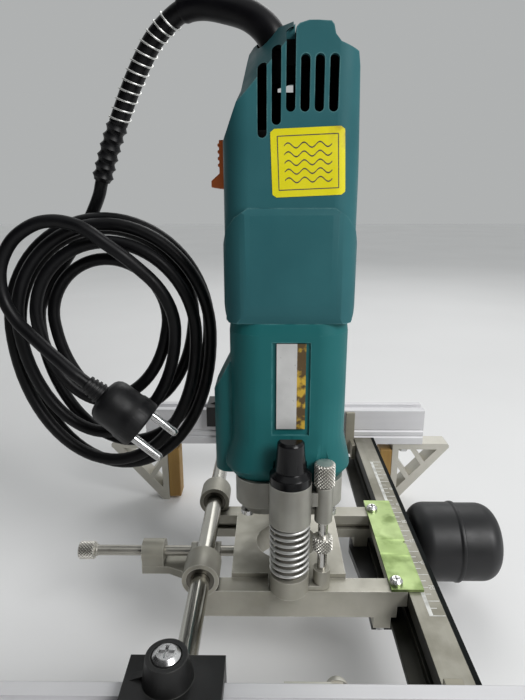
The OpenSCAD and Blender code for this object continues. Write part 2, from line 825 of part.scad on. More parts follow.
module grip_bolt() {
    split = grip_len * grip_split;
    seat = split - 6 + seat_gap;
    color("lightgray") placed() translate([grip_x0, grip_y, grip_z]) {
        rod_x(4, seat + 1, grip_bolt_d);
        translate([seat, 0, 0]) rotate([0, 90, 0]) cylinder(d = spigot_d + 6, h = 1.2);
        translate([seat + 1.2, 0, 0]) rotate([0, 90, 0]) cylinder(d = 11, h = 4, $fn = 6);
    }
}

// Saddle casting: plate with tongues, cutter opening, tabs over the members, posts
module saddle() {
    color("darkgray") placed() difference() {
        union() {
            translate([-saddle_w / 2, -saddle_y, -saddle_drop]) cube([saddle_w, 2 * saddle_y, saddle_drop + saddle_top]);
            translate([-saddle_w / 2, -saddle_y - groove_depth + slide_gap, groove_z - tongue_h / 2 + slide_gap])
                cube([saddle_w, 2 * (saddle_y + groove_depth - slide_gap), tongue_h - 2 * slide_gap]);
            for (s = [-1, 1]) {
                translate([-tab_w / 2, min(s * column_y, s * (saddle_y - 4)), slide_gap])
                    cube([tab_w, column_y - saddle_y + 4, saddle_top - slide_gap]);
                translate([0, s * column_y, slide_gap]) cylinder(d = post_d, h = post_h - slide_gap);
            }
            translate([0, stop_y - stop_post_d / 2, slide_gap])
                cube([stop_x, stop_post_d + 4, saddle_top - slide_gap]);
            translate([stop_x, stop_y, slide_gap]) cylinder(d = stop_post_d, h = stop_post_h - slide_gap);
        }
        translate([0, 0, -saddle_drop - 1]) cylinder(d = cutter_hole_d, h = saddle_drop + saddle_top + 2);
        for (s = [-1, 1]) {
            translate([0, s * column_y, post_h - guide_in]) cylinder(d = guide_d + 2 * seat_gap, h = guide_in + 1);
        }
        translate([stop_x, stop_y, saddle_top]) cylinder(d = depth_rod_d + 2 * bore_gap, h = stop_post_h);
        translate([0, 0, side_rod_z])
            rod_x(-saddle_w / 2 - 1, -saddle_w / 2 + side_rod_in, side_rod_d + 2 * bore_gap);
    }
}
module guide_rods() {
    color("lightgray") placed() for (s = [-1, 1]) {
        translate([0, s * column_y, post_h - guide_in + seat_gap])
            soft_cylinder(guide_d, guide_top - post_h + guide_in, 1);
    }
}
module front_spring() {
    color("silver") placed() translate([0, -column_y, spring_z])
        coil_spring(spring_d, spring_wire, spring_turns, spring_h);
}
module rear_spring() {
    color("silver") placed() translate([0, column_y, spring_z])
        coil_spring(spring_d, spring_wire, spring_turns, spring_h);
}

// Hex nut on a rod along X
module hex_nut_x(x0, af, t, bore) {
    translate([x0, 0, 0]) rotate([0, 90, 0]) difference() {
        cylinder(d = af / cos(30), h = t, $fn = 6);
        translate([0, 0, -1]) cylinder(d = bore, h = t + 2);
    }
}
module side_lock_nut() {
    color("gray") placed() translate([0, 0, side_rod_z])
        hex_nut_x(lock_nut_x, side_nut_af, side_nut_t, side_rod_d + 2 * bore_gap);
}
module side_stop_nut() {
    color("gray") placed() translate([0, 0, side_rod_z])
        hex_nut_x(side_nut_x, side_nut_af, side_nut_t, side_rod_d + 2 * bore_gap);
}
module side_stop_rod() {
    color("lightgray") placed() translate([0, 0, side_rod_z]) {
        rod_x(side_knob_x - 1, -saddle_w / 2 + side_rod_in - slide_gap, side_rod_d);
        translate([side_knob_x - side_knob_len, 0, 0]) rotate([0, 90, 0]) soft_cylinder(side_knob_d, side_knob_len, 1);
    }
}
module depth_rod() {
    knob_z = lug_z + lug_h + slide_gap;
    color("lightgray") placed() translate([stop_x, stop_y, 0]) {
        translate([0, 0, saddle_top + slide_gap]) cylinder(d = depth_rod_d, h = knob_z - saddle_top);
        translate([0, 0, knob_z]) soft_cylinder(depth_knob_d, depth_knob_h, 0.9);
    }
}
module depth_nut() {
    color("lightgray") placed() translate([stop_x, stop_y, depth_nut_z]) difference() {
        soft_cylinder(depth_knob_d, depth_nut_h, 0.9);
        translate([0, 0, -1]) cylinder(d = depth_rod_d + 2 * bore_gap, h = depth_nut_h + 2);
    }
}

// Head casting: rounded body, two sleeves, the stop lug and the lower bearing seat
module head_casting() {
    corner = 13;
    toe = 7;
    spindle_gap = 2;
    color("silver") placed() difference() {
        union() {
            hull() {
                translate([0, 0, head_z + toe]) linear_extrude(head_h - toe, $fn = 32)
                    rounded_rect(head_w, lower_d + 1, corner);
                translate([0, 0, head_z]) linear_extrude(1, $fn = 32)
                    rounded_rect(head_w - 2 * toe + 3, lower_d - 2 * toe + 3, corner - toe + 2);
            }
            for (s = [-1, 1]) {
                translate([0, s * column_y, sleeve_z]) cylinder(d = post_d + 0.9, h = sleeve_h);
            }
            translate([0, stop_y - 3.2, lower_z - 8]) cube([stop_x, 9, 7.5]);
            translate([stop_x, stop_y, lug_z]) cylinder(d = lug_d, h = lug_h);
        }
        for (s = [-1, 1]) {
            translate([0, s * column_y, sleeve_z - eps]) cylinder(d = guide_d + 2 * bore_gap, h = sleeve_h + 1);
            translate([0, s * column_y, head_z - 1]) cylinder(d = spring_d + spring_room, h = sleeve_z - head_z + 1);
        }
        translate([stop_x, stop_y, lug_z - 1]) cylinder(d = depth_rod_d + 2 * bore_gap, h = lug_h + 2);
        translate([0, 0, head_z - 1]) cylinder(d = spindle_d + 2 * spindle_gap, h = head_h + 2);
        translate([0, 0, bearing_z]) cylinder(d = bearing_d + 2 * seat_gap, h = head_h);
        head_screw_places() cylinder(d = head_screw_d + 4 * seat_gap, h = head_h);
    }
}
module head_screw_places() {
    for (sx = [-1, 1], sy = [-1, 1]) {
        translate([sx * head_screw_x, sy * head_screw_y, head_z - eps]) children();
    }
}
module head_screws() {
    color("gray") placed() head_screw_places() {
        translate([0, 0, -2.6]) cylinder(d = 8, h = 2.6);
        translate([0, 0, -0.5]) cylinder(d = head_screw_d, h = 12);
    }
}
module column_caps() {
    color("#161618") placed() for (s = [-1, 1]) {
        translate([0, s * column_y, sleeve_z + sleeve_h + seat_gap]) difference() {
            rotate_extrude() polygon([
                [0, 0], [post_d / 2 + 0.3, 0], [post_d / 2 + 0.3, cap_flange_h - 2.4],
                [cap_d / 2 + 0.2, cap_flange_h], [cap_d / 2, cap_flange_h + 1],
                [cap_d / 2 - 1, cap_h - 1.4], [cap_d / 2 - 2.2, cap_h], [0, cap_h]
            ]);
            mirror([0, s > 0 ? 1 : 0, 0]) translate([-cap_d, 1, cap_h]) rotate([-cap_slope, 0, 0])
                cube([2 * cap_d, cap_d, cap_d]);
        }
    }
}

// Section of a housing, beside the spindle axis by its shift
module housing_rect(w, d, r) {
    translate([housing_shift, 0]) rounded_rect(w, d, r);
}
module housing_ring(z, h, w, d, r) {
    translate([0, 0, z]) linear_extrude(h, $fn = 32) housing_rect(w, d, r);
}

// Lower housing: flared square shell with the brush lobe and the recess for a plate
module lower_housing() {
    corner = 16;
    flare = 3.2;
    flare_h = 22;
    neck = 5.6;
    recess_w = 18.6;
    recess_h = 48;
    recess_z = upper_z - recess_h - 9;
    color("#0f6b72") placed() difference() {
        union() {
            translate([0, 0, lower_z + flare_h]) linear_extrude(lower_h - flare_h - neck)
                housing_rect(lower_w, lower_d, corner);
            hull() {
                housing_ring(upper_z - neck - eps, eps, lower_w, lower_d, corner);
                housing_ring(upper_z - seat_gap - eps, eps, lower_w - 1.2, lower_d - 1.6, corner);
            }
            hull() {
                housing_ring(lower_z + flare_h, 1, lower_w, lower_d, corner);
                housing_ring(lower_z + 6, 3, lower_w + 2 * flare, lower_d + flare, corner);
                housing_ring(lower_z + seat_gap, 1, lower_w, lower_d - flare, corner);
            }
            intersection() {
                translate([0, 0, lobe_z0]) linear_extrude(lobe_z1 - lobe_z0)
                    translate([lobe_x / 2 - 6, 0]) rounded_rect(-lobe_x - 12, 34, 8);
                rotate([90, 0, 0]) linear_extrude(lower_d, center = true) polygon([
                    [0, lobe_z1], [housing_shift - lower_w / 2, lobe_z1], [lobe_x, lobe_z1 - 17], [lobe_x, lobe_z0 + 9],
                    [lobe_x + 6, lower_z + seat_gap], [0, lower_z + seat_gap]
                ]);
            }
        }
        translate([0, 0, lower_z - 1]) cylinder(d = stator_d + 2 * seat_gap, h = lower_h + 2);
        translate([-recess_w / 2, -lower_d / 2 - 1, recess_z]) cube([recess_w, 2, recess_h]);
        for (s = [-1, 1]) {
            translate([0, s * column_y, lower_z - 1]) {
                cylinder(d = post_d + 1.5, h = sleeve_z + sleeve_h + cap_flange_h - lower_z + 2);
                cylinder(d = cap_d + 1, h = sleeve_z + sleeve_h + cap_h - lower_z + 2);
            }
        }
        translate([stop_x, stop_y, lower_z - 1])
            cylinder(d = depth_knob_d + 1, h = lug_z + lug_h + depth_knob_h + plunge + 2 - lower_z);
    }
}

// Outline given for the right side, closed by its mirror image
function both_sides(p) = concat(p, [for (i = [len(p) - 1 : -1 : 0]) [-p[i][0], p[i][1]]]);

// Upper housing: grip bulge below, slotted shell above with a raised block and a scooped boot side
module scoop(inset) {
    intersection() {
        translate([scoop_x0, -upper_d / 2, upper_z + upper_h - scoop_drop]) rotate([0, -scoop_turn, 0])
            rotate([scoop_lean, 0, 0]) translate([-upper_h, -upper_d, -inset]) cube([2 * upper_h, 3 * upper_d, upper_h]);
        translate([scoop_x0 - upper_h, -upper_d, upper_z]) cube([upper_h, 2 * upper_d, 2 * upper_h]);
    }
}
module upper_outline(inset) {
    outline = concat([[-upper_w / 2, 0], [upper_w / 2, 0]], shoulder);
    intersection() {
        translate([inset, -inset]) polygon(outline);
        translate([-inset, -inset]) polygon(outline);
    }
}
module upper_block(inset) {
    difference() {
        intersection() {
            translate([housing_shift, 0, upper_z]) rotate([90, 0, 0]) linear_extrude(2 * upper_d, center = true)
                upper_outline(inset);
            translate([0, 0, upper_z]) linear_extrude(2 * upper_h)
                housing_rect(upper_w - 2 * inset, upper_d - 2 * inset, upper_corner - inset);
        }
        scoop(inset);
    }
}
module vent(x, z0, z1) {
    translate([x, 0, 0]) {
        translate([-vent_w / 2, -upper_d, z0 + vent_w / 2]) cube([vent_w, upper_d, z1 - z0 - vent_w]);
        for (z = [z0 + vent_w / 2, z1 - vent_w / 2]) {
            translate([0, 0, z]) rod_y(-upper_d, 0, vent_w);
        }
    }
}
module boot_way(d) {
    from = lead_route[0];
    way = unit(lead_route[1] - lead_route[0]);
    translate(from) rotate([0, atan2(way[0], way[2]), 0]) cylinder(d = d, h = boot_reach);
}
module upper_housing() {
    corner = 13.5;
    bulge_d = lower_d + 2;
    round_h = 9;
    front = [
        [lower_w / 2 - 0.3, 0], [bulge_w / 2 - 0.8, round_h * 0.45], [bulge_w / 2, round_h], [bulge_w / 2, bulge_h - 17],
        [bulge_w / 2 - 1.6, bulge_h - 10], [bulge_w / 2 - 6, bulge_h - 4], [bulge_w / 2 - 12, bulge_h]
    ];
    side = [
        [lower_d / 2 - 1, 0], [bulge_d / 2 - 0.5, round_h * 0.45], [bulge_d / 2, round_h],
        [bulge_d / 2, bulge_h - 3], [upper_d / 2 + 0.3, bulge_h]
    ];
    color("#12656d") placed() difference() {
        union() {
            upper_block(0);
            intersection() {
                translate([0, 0, upper_z]) linear_extrude(bulge_h) housing_rect(bulge_w, bulge_d, corner);
                translate([housing_shift, 0, upper_z]) rotate([90, 0, 0])
                    linear_extrude(2 * bulge_d, center = true) polygon(both_sides(front));
                translate([0, 0, upper_z]) rotate([90, 0, 90])
                    linear_extrude(2 * bulge_w, center = true) polygon(both_sides(side));
            }
        }
        translate([0, 0, upper_z - 1]) linear_extrude(bulge_h + 1)
            housing_rect(upper_w - 2 * shell_t - 2, upper_d - 2 * shell_t, upper_corner - shell_t);
        intersection() {
            upper_block(shell_t);
            translate([-upper_w, -upper_w, upper_z - 1]) cube([2 * upper_w, 2 * upper_w, upper_h - 6]);
        }
        for (i = [0 : 2]) {
            vent(vent_x0 + i * vent_pitch, upper_z + vent_z0, upper_z + vent_z0 + vent_len);
            x = vent_x0 - (i + 1) * vent_pitch;
            edge = upper_h - scoop_drop + (x - scoop_x0) * scoop_fall / scoop_run;
            vent(x, upper_z + vent_z0 - i * vent_drop, upper_z + edge + vent_over + vent_w / 2);
        }
        translate([back_slot_x, 0, upper_z + back_slot_z]) cube([back_slot_w, upper_d, back_slot_h]);
        boot_way(boot_d + 4 * slide_gap);
        translate([housing_shift - upper_w, -switch_stem / 2 - slide_gap, switch_z + 3])
            cube([upper_w / 2 + 6, switch_stem + 2 * slide_gap, switch_h - 6 + switch_travel]);
    }
    color("#12656d") placed() translate([0, 0, upper_bearing_z - 1]) difference() {
        linear_extrude(upper_bearing_h + 2)
            housing_rect(upper_w - 2 * shell_t, upper_d - 2 * shell_t + 1, upper_corner - shell_t);
        translate([0, 0, -1]) cylinder(d = upper_bearing_d + 2 * seat_gap, h = upper_bearing_h + 4);
    }
}
module switch_slider() {
    x = housing_shift - upper_w / 2 - slide_gap;
    color("orangered") placed() {
        translate([x - switch_t, -switch_w / 2, switch_z]) cube([switch_t, switch_w, switch_h]);
        translate([x, switch_w / 2, switch_z]) rotate([90, 0, 0]) linear_extrude(switch_w) polygon([
            [-switch_t, 0], [-switch_bump, 0.6], [-switch_bump, 3.6], [-switch_t, 7]
        ]);
        for (i = [0 : 3]) {
            translate([x - switch_t - 0.7, -switch_w / 2, switch_z + 10 + 3 * i]) cube([0.8, switch_w, 1.4]);
        }
        translate([x - 1, -switch_stem / 2, switch_z + 4]) cube([switch_stem + 2, switch_stem, switch_h - 8]);
    }
}
module switch_block() {
    color("#303034") placed()
        translate([housing_shift - upper_w / 2 + switch_stem + 1.6, -switch_block_d / 2, switch_block_z])
            cube([switch_block_w, switch_block_d, upper_z + upper_h - switch_block_drop - switch_block_z]);
}

// Motor internals, turned about the spindle axis
module stator() {
    color("#6b5a4a") placed() translate([0, 0, stator_z]) difference() {
        union() {
            cylinder(d = stator_d, h = stator_h);
            translate([0, 0, -7]) cylinder(d = stator_d - 8, h = stator_h + 14);
        }
        translate([0, 0, -8]) cylinder(d = stator_bore, h = stator_h + 16);
    }
}
module armature() {
    color("#8a6a40") placed() difference() {
        union() {
            translate([0, 0, stator_z - 4]) soft_cylinder(armature_d, stator_h + 8, 1.5);
            translate([0, 0, stator_z + stator_h + 4 - eps]) cylinder(d = commutator_d, h = 22);
        }
        translate([0, 0, stator_z - 5]) cylinder(d = spindle_d + 2 * seat_gap, h = stator_h + 40);
    }
}
module fan() {
    z = lower_z + 3;
    hub = spindle_d + 8;
    color("#2a2a2c") placed() difference() {
        union() {
            translate([0, 0, z]) cylinder(d = hub, h = 9);
            translate([0, 0, z]) cylinder(d = fan_d, h = 1.6);
            for (a = [0 : 30 : 330]) {
                rotate(a) translate([hub / 2 - 1, -0.7, z]) cube([fan_d / 2 - hub / 2, 1.4, 9]);
            }
        }
        translate([0, 0, z - 1]) cylinder(d = spindle_d + 2 * seat_gap, h = 12);
    }
}
module bearings() {
    color("lightgray") placed() {
        translate([0, 0, bearing_z]) difference() {
            cylinder(d = bearing_d, h = bearing_h);
            translate([0, 0, -1]) cylinder(d = spindle_d + 2 * bore_gap, h = bearing_h + 2);
        }
        translate([0, 0, upper_bearing_z]) difference() {
            cylinder(d = upper_bearing_d, h = upper_bearing_h);
            translate([0, 0, -1]) cylinder(d = 8 + 2 * bore_gap, h = upper_bearing_h + 2);
        }
    }
}
module brush_holders() {
    z = stator_z + stator_h + brush_rise;
    reach = stator_d / 2 - commutator_d / 2 - 2 * slide_gap;
    color("goldenrod") placed() for (s = [-1, 1]) {
        translate([s * (commutator_d / 2 + slide_gap), 0, z]) rotate([0, s * 90, 0]) cylinder(d = 8, h = reach);
        translate([s * (commutator_d / 2 + 7), 0, z]) cube([3, 16, 11], center = true);
    }
}
module spindle() {
    color("lightgray") placed() {
        translate([0, 0, nut_z + 4]) difference() {
            cylinder(d = spindle_d, h = upper_bearing_z - nut_z - 6);
            translate([0, 0, -1]) cylinder(d = collet_bore, h = 27);
        }
        translate([0, 0, upper_bearing_z - 3]) cylinder(d = 8, h = upper_bearing_h + 4);
    }
}
module collet_nut() {
    color("gray") placed() translate([0, 0, nut_z]) difference() {
        union() {
            cylinder(d = nut_d, h = nut_h, $fn = 6);
            cylinder(d = nut_d * 0.93, h = nut_h + 1);
        }
        translate([0, 0, -1]) cylinder(d = collet_bore, h = 6);
        translate([0, 0, 4 - seat_gap]) cylinder(d = spindle_d + 2 * seat_gap, h = nut_h);
    }
}

// Cable: one route from the housing to the plug, cut into its pieces
lead_points = smooth_route(lead_route, route_steps);
coil_sweep = 360 * (coil_strands - 1) + coil_to - coil_from;
coil_count = round(coil_sweep / 360 * coil_rings);
function ease(u) = let (v = min(max(u, 0), 1)) v * v * (3 - 2 * v);
coil_points = [for (i = [0 : coil_count])
    let (turned = coil_sweep * i / coil_count,
         a = coil_from + turned,
         half_h = coil_h * (sin(a) > 0 ? coil_above : 1 - coil_above),
         wide = coil_wide * (1 + coil_spread * pow((1 - sin(a)) / 2, 3)),
         lane = coil_lane + turned * coil_twists / coil_strands,
         out = wide * cos(lane) - wide - cord_d / 2,
         left = ease((turned - coil_sweep + coil_leave) / coil_leave))
    [coil_x + (coil_w / 2 + out) * cos(a), coil_y + coil_deep * sin(lane) - coil_front * left,
     coil_z + (half_h + out) * sin(a)]];
tail_end = [for (k = [2, 1, 0]) plug_end - k * tail_straight * plug_dir];
tail_points = smooth_route(concat([coil_points[coil_count]], tail_route, tail_end), 3);
cable = concat(lead_points, coil_points, [for (i = [1 : len(tail_points) - 1]) tail_points[i]]);
boot_end = boot_last * route_steps;
sleeve_end = sleeve_last * route_steps;
guard_end = guard_last * route_steps;
coil_first = len(lead_points);
coil_last = coil_first + coil_count;

module cable_boot() {
    color("#17171a") placed() tube(cable, 0, boot_end,
        [for (i = [0 : boot_end]) boot_d / 2 - (i > 8 ? (i - 8) * 0.07 : 0)],
        [for (i = [0 : boot_end]) [0, -1, 0]], 12);
}

// Point on the route between rings
function route_at(p, s) = let (i = min(floor(s), len(p) - 2)) p[i] + (s - i) * (p[i + 1] - p[i]);
module ribbed_sleeve() {
    span = sleeve_end - boot_end;
    marks = concat(
        [0],
        [for (k = [0 : sleeve_ribs - 1]) for (f = [0.18, 0.42, 0.68, 0.92]) (k + f) / sleeve_ribs],
        [1]
    );
    pts = [for (m = marks) route_at(cable, boot_end + m * span)];
    core = sleeve_od / 2 - 0.9;
    radii = concat([core], [for (k = [1 : sleeve_ribs]) each [core, sleeve_od / 2, sleeve_od / 2, core]], [core]);
    color("#1b1b1e") placed() tube(pts, 0, len(pts) - 1, radii, [for (m = marks) [0, -1, 0]], 8);
}
module guard_spring() {
    rings = guard_turns * 8;
    first = boot_end + 1;
    r = sleeve_od / 2 + 0.15 + guard_wire / 2;
    mids = [for (i = [0 : rings]) route_at(cable, first + (guard_end - first) * i / rings)];
    sides = [for (i = [0 : rings])
        let (t = tangent(mids, i), u = square_to([0, -1, 0], t), v = cross(t, u), a = 360 * i / 8)
        cos(a) * u + sin(a) * v];
    pts = [for (i = [0 : rings]) mids[i] + r * sides[i]];
    echo(guard_spring_gap = least_gap(pts, guard_wire, 6));
    color("silver") placed() tube(pts, 0, rings, [for (i = [0 : rings]) guard_wire / 2], sides, 6);
}
module cord_lead() {
    color("#141416") placed() plain_tube(cable, sleeve_end, coil_first, cord_d / 2, 8);
}
module cord_coil() {
    echo(coil_gap = least_gap(coil_points, cord_d, 10));
    echo(cord_length = sum_length(cable, sleeve_end, len(cable) - 1));
    color("#141416") placed() plain_tube(cable, coil_first, coil_last, cord_d / 2, 6);
}
function sum_length(p, i0, i1) = i0 >= i1 ? 0 : norm(p[i0 + 1] - p[i0]) + sum_length(p, i0 + 1, i1);
module cord_tail() {
    color("#141416") placed() plain_tube(cable, coil_last, len(cable) - 1, cord_d / 2, 8);
}

// Two-pin plug at the end of the tail
module plug() {
    tilt = [0, atan2(plug_dir[0], plug_dir[2]), 0];
    end = cable[len(cable) - 1];
    color("#151517") placed() translate(end) rotate(tilt) {
        rotate_extrude() polygon([
            [0, 0], [cord_d / 2 + 1.5, 0], [cord_d / 2 + 3, plug_relief], [plug_d / 2 - 6, plug_relief + 3],
            [plug_d / 2 - 2.5, plug_relief + 12], [plug_d / 2, plug_relief + 18],
            [plug_d / 2, plug_relief + plug_body - 1], [plug_d / 2 - 1, plug_relief + plug_body],
            [0, plug_relief + plug_body]
        ]);
        for (s = [-1, 1]) {
            rotate(plug_roll) translate([0, s * plug_pin_gap / 2, plug_relief + plug_body - 1])
                soft_cylinder(plug_pin_d, plug_pin_len + 1, 0.8);
        }
    }
}

front_beam();
rear_beam();
guide_bar();
front_bar_block();
rear_bar_block();
bar_block_screws();
scale_rail();
rail_end_brackets();
front_stop();
front_left_jaw();
front_right_jaw();
rear_left_jaw();
rear_right_jaw();
front_left_pad();
front_right_pad();
rear_left_pad();
rear_right_pad();
front_left_clamp_bolt();
front_right_clamp_bolt();
rear_left_clamp_bolt();
rear_right_clamp_bolt();
carriage();
bar_bushes();
index_plate();
index_screws();
grip_bracket();
bracket_bolts();
grip();
grip_cap();
grip_bolt();
saddle();
guide_rods();
front_spring();
rear_spring();
side_lock_nut();
side_stop_rod();
side_stop_nut();
depth_rod();
depth_nut();
head_casting();
lower_housing();
upper_housing();
column_caps();
head_screws();
stator();
bearings();
brush_holders();
switch_block();
switch_slider();
spindle();
armature();
fan();
collet_nut();
cable_boot();
ribbed_sleeve();
guard_spring();
cord_lead();
cord_coil();
cord_tail();
plug();
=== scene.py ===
import json
import math

import bmesh
import bpy
from mathutils import Matrix, Vector


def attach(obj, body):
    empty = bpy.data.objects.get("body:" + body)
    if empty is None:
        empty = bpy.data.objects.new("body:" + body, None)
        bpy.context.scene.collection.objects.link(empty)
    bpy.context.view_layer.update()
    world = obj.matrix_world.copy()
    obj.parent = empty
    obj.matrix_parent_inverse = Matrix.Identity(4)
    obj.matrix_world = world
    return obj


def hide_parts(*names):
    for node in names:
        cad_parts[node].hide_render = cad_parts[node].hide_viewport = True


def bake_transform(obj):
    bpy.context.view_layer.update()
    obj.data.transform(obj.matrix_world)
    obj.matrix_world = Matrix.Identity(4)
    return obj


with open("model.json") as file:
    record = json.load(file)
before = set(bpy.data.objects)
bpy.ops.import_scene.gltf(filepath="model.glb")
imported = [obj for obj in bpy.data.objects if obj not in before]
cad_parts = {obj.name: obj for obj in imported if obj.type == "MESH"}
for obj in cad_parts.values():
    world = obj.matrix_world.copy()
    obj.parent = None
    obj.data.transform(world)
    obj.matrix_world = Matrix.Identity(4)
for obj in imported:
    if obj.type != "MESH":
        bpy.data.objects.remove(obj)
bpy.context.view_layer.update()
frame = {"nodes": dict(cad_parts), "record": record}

# Lengths are in millimetres on the drawing's axes, unless a comment says metres. The spindle's axis is
# x = y = 0, and z = 0 lies just above the rail.
MM = 0.001
ROW = Vector((1.5, -16, 63))
FRONT = Vector((0, -1, 0))
UP = Vector((0, 0, 1))
scene = bpy.context.scene
scene.view_settings.view_transform = "Standard"


def at(x, y, z):
    """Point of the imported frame, in metres."""
    return (Vector((x, y, z)) + ROW) * MM


def place(origin, axis):
    """Frame whose local z runs along axis from origin."""
    turn = Vector(axis).to_track_quat("Z", "Y").to_matrix().to_4x4()
    return Matrix.Translation(at(*origin)) @ turn


# Camera
IMAGE_HEIGHT, FOCAL_PIXELS = 700, 529
SENSOR = 24.0
CAMERA_AT = (-10.7, -273, 197.3)
PITCH, YAW, ROLL = (math.radians(v) for v in (15.74, 0.75, 0.12))
camera_data = bpy.data.cameras.new("camera")
camera_data.sensor_fit = "VERTICAL"
camera_data.sensor_height = SENSOR
camera_data.lens = SENSOR * FOCAL_PIXELS / IMAGE_HEIGHT
camera_data.clip_start = 0.01
camera = bpy.data.objects.new("camera", camera_data)
scene.collection.objects.link(camera)
view_line = Vector((-math.sin(YAW) * math.cos(PITCH), math.cos(YAW) * math.cos(PITCH), -math.sin(PITCH)))
aim = view_line.to_track_quat("-Z", "Y").to_matrix().to_4x4() @ Matrix.Rotation(-ROLL, 4, "Z")
camera.matrix_world = Matrix.Translation(at(*CAMERA_AT)) @ aim
scene.camera = camera

# Which body and which finish each CAD node has
body_of = {node: body for body, nodes in frame["record"]["behaviour"]["bodies"].items() for node in nodes}
slot_of = {s["node"]: s["material_slot"] for s in frame["record"]["subparts"]}


class Look:
    """A procedural material, built up from noise, ramps and worn edges."""

    def __init__(self, name, rough, metal=0.0, shine=0.5):
        self.mat = bpy.data.materials.new(name)
        self.mat.use_nodes = True
        self.tree = self.mat.node_tree
        self.shader = self.tree.nodes["Principled BSDF"]
        self.shader.inputs["Roughness"].default_value = rough
        self.shader.inputs["Metallic"].default_value = metal
        self.shader.inputs["Specular IOR Level"].default_value = shine
        self.coord = self.node("TexCoord").outputs["Object"]

    def node(self, kind):
        return self.tree.nodes.new("ShaderNode" + kind)

    def fill(self, socket, value):
        """Links an output to a socket, or sets a number or a colour on it."""
        if isinstance(value, bpy.types.NodeSocket):
            self.tree.links.new(value, socket)
        elif isinstance(value, tuple):
            socket.default_value = (*value, 1.0)
        else:
            socket.default_value = value

    def noise(self, scale, detail=3.0, stretch=None):
        node = self.node("TexNoise")
        self.fill(node.inputs["Scale"], scale)
        self.fill(node.inputs["Detail"], detail)
        source = self.coord
        if stretch:
            mapping = self.node("Mapping")
            mapping.inputs["Scale"].default_value = stretch
            self.fill(mapping.inputs["Vector"], self.coord)
            source = mapping.outputs["Vector"]
        self.fill(node.inputs["Vector"], source)
        return node.outputs["Fac"]

    def ramp(self, fac, *stops):
        """Colour ramp; a stop is (position, grey) or (position, (r, g, b))."""
        node = self.node("ValToRGB")
        for element, (position, value) in zip(node.color_ramp.elements, stops):
            rgb = value if isinstance(value, tuple) else (value, value, value)
            element.position = position
            element.color = (*rgb, 1.0)
        self.fill(node.inputs["Fac"], fac)
        return node.outputs["Color"]

    def mix(self, fac, a, b, mode="MIX"):
        node = self.node("Mix")
        node.data_type = "RGBA"
        node.blend_type = mode
        for socket, value in ((node.inputs[0], fac), (node.inputs[6], a), (node.inputs[7], b)):
            self.fill(socket, value)
        return node.outputs[2]

    def maths(self, operation, a, b):
        node = self.node("Math")
        node.operation = operation
        node.use_clamp = True
        self.fill(node.inputs[0], a)
        self.fill(node.inputs[1], b)
        return node.outputs[0]

    def edge(self, radius, gain):
        """How near the surface is to a sharp edge, 0 to 1."""
        bevel = self.node("Bevel")
        bevel.samples = 4
        self.fill(bevel.inputs["Radius"], radius * MM)
        dot = self.node("VectorMath")
        dot.operation = "DOT_PRODUCT"
        self.fill(dot.inputs[0], bevel.outputs["Normal"])
        self.fill(dot.inputs[1], self.node("NewGeometry").outputs["Normal"])
        return self.maths("MULTIPLY", self.maths("SUBTRACT", 1.0, dot.outputs["Value"]), gain)

    def open_air(self, reach):
        """How open the surface is, from 0 in narrow grooves to 1 in the open."""
        node = self.node("AmbientOcclusion")
        node.samples = 8
        node.only_local = True
        self.fill(node.inputs["Distance"], reach * MM)
        return node.outputs["AO"]

    def part(self, vector, axis):
        node = self.node("SeparateXYZ")
        self.fill(node.inputs[0], vector)
        return node.outputs[axis]

    def coordinate(self, axis):
        """One object coordinate, in metres."""
        return self.part(self.coord, axis)

    def color(self, out):
        self.fill(self.shader.inputs["Base Color"], out)

    def rough(self, out):
        self.fill(self.shader.inputs["Roughness"], out)

    def bump(self, height, strength, depth):
        node = self.node("Bump")
        self.fill(node.inputs["Strength"], strength)
        self.fill(node.inputs["Distance"], depth * MM)
        self.fill(node.inputs["Height"], height)
        self.fill(self.shader.inputs["Normal"], node.outputs["Normal"])


def worn_plastic(name, low, high, worn, rough, wear=0.9, grain=0.12, shine=0.5):
    """Moulded plastic between two colours, with rubbed edges."""
    look = Look(name, rough, shine=shine)
    base = look.ramp(look.noise(22, 4), (0.3, low), (0.72, high))
    patches = look.ramp(look.noise(140), (0.35, 0.0), (0.6, 1.0))
    rubbed = look.maths("MULTIPLY", look.edge(0.9, wear * 6), patches)
    look.color(look.mix(rubbed, base, worn))
    look.rough(look.ramp(look.noise(65, 4), (0.3, rough - 0.07), (0.7, rough + 0.09)))
    look.bump(look.noise(2400, 2), grain, 0.2)
    return look.mat


def rubber(name, low, high, rough, grain=0.1, shine=0.3):
    """Soft dull plastic without worn edges."""
    look = Look(name, rough, shine=shine)
    look.color(look.ramp(look.noise(45, 4), (0.35, low), (0.75, high)))
    look.rough(look.ramp(look.noise(120, 3), (0.3, rough - 0.06), (0.7, rough + 0.1)))
    look.bump(look.noise(1500, 2), grain, 0.15)
    return look.mat


def casting(name, low, high, bright, rough):
    """Cast metal with grime, bright worn edges and painted shade in its corners."""
    look = Look(name, rough, 0.6)
    base = look.ramp(look.noise(38, 5), (0.28, low), (0.7, high))
    grime = look.ramp(look.noise(11, 4), (0.36, 0.6), (0.6, 1.0))
    base = look.mix(1.0, base, grime, "MULTIPLY")
    patches = look.ramp(look.noise(160), (0.3, 0.2), (0.6, 1.0))
    worn = look.mix(look.maths("MULTIPLY", look.edge(0.8, 5.0), patches), base, bright)
    # Painted shade: ambient occlusion darkens corners and hollows towards near black.
    corners = look.ramp(look.open_air(3.0), (0.45, 1.0), (0.8, 0.0))
    look.color(look.mix(corners, worn, (0.03, 0.028, 0.022)))
    look.rough(look.ramp(look.noise(90, 4), (0.3, rough - 0.1), (0.7, rough + 0.1)))
    look.bump(look.noise(420, 4), 0.16, 0.4)
    return look.mat


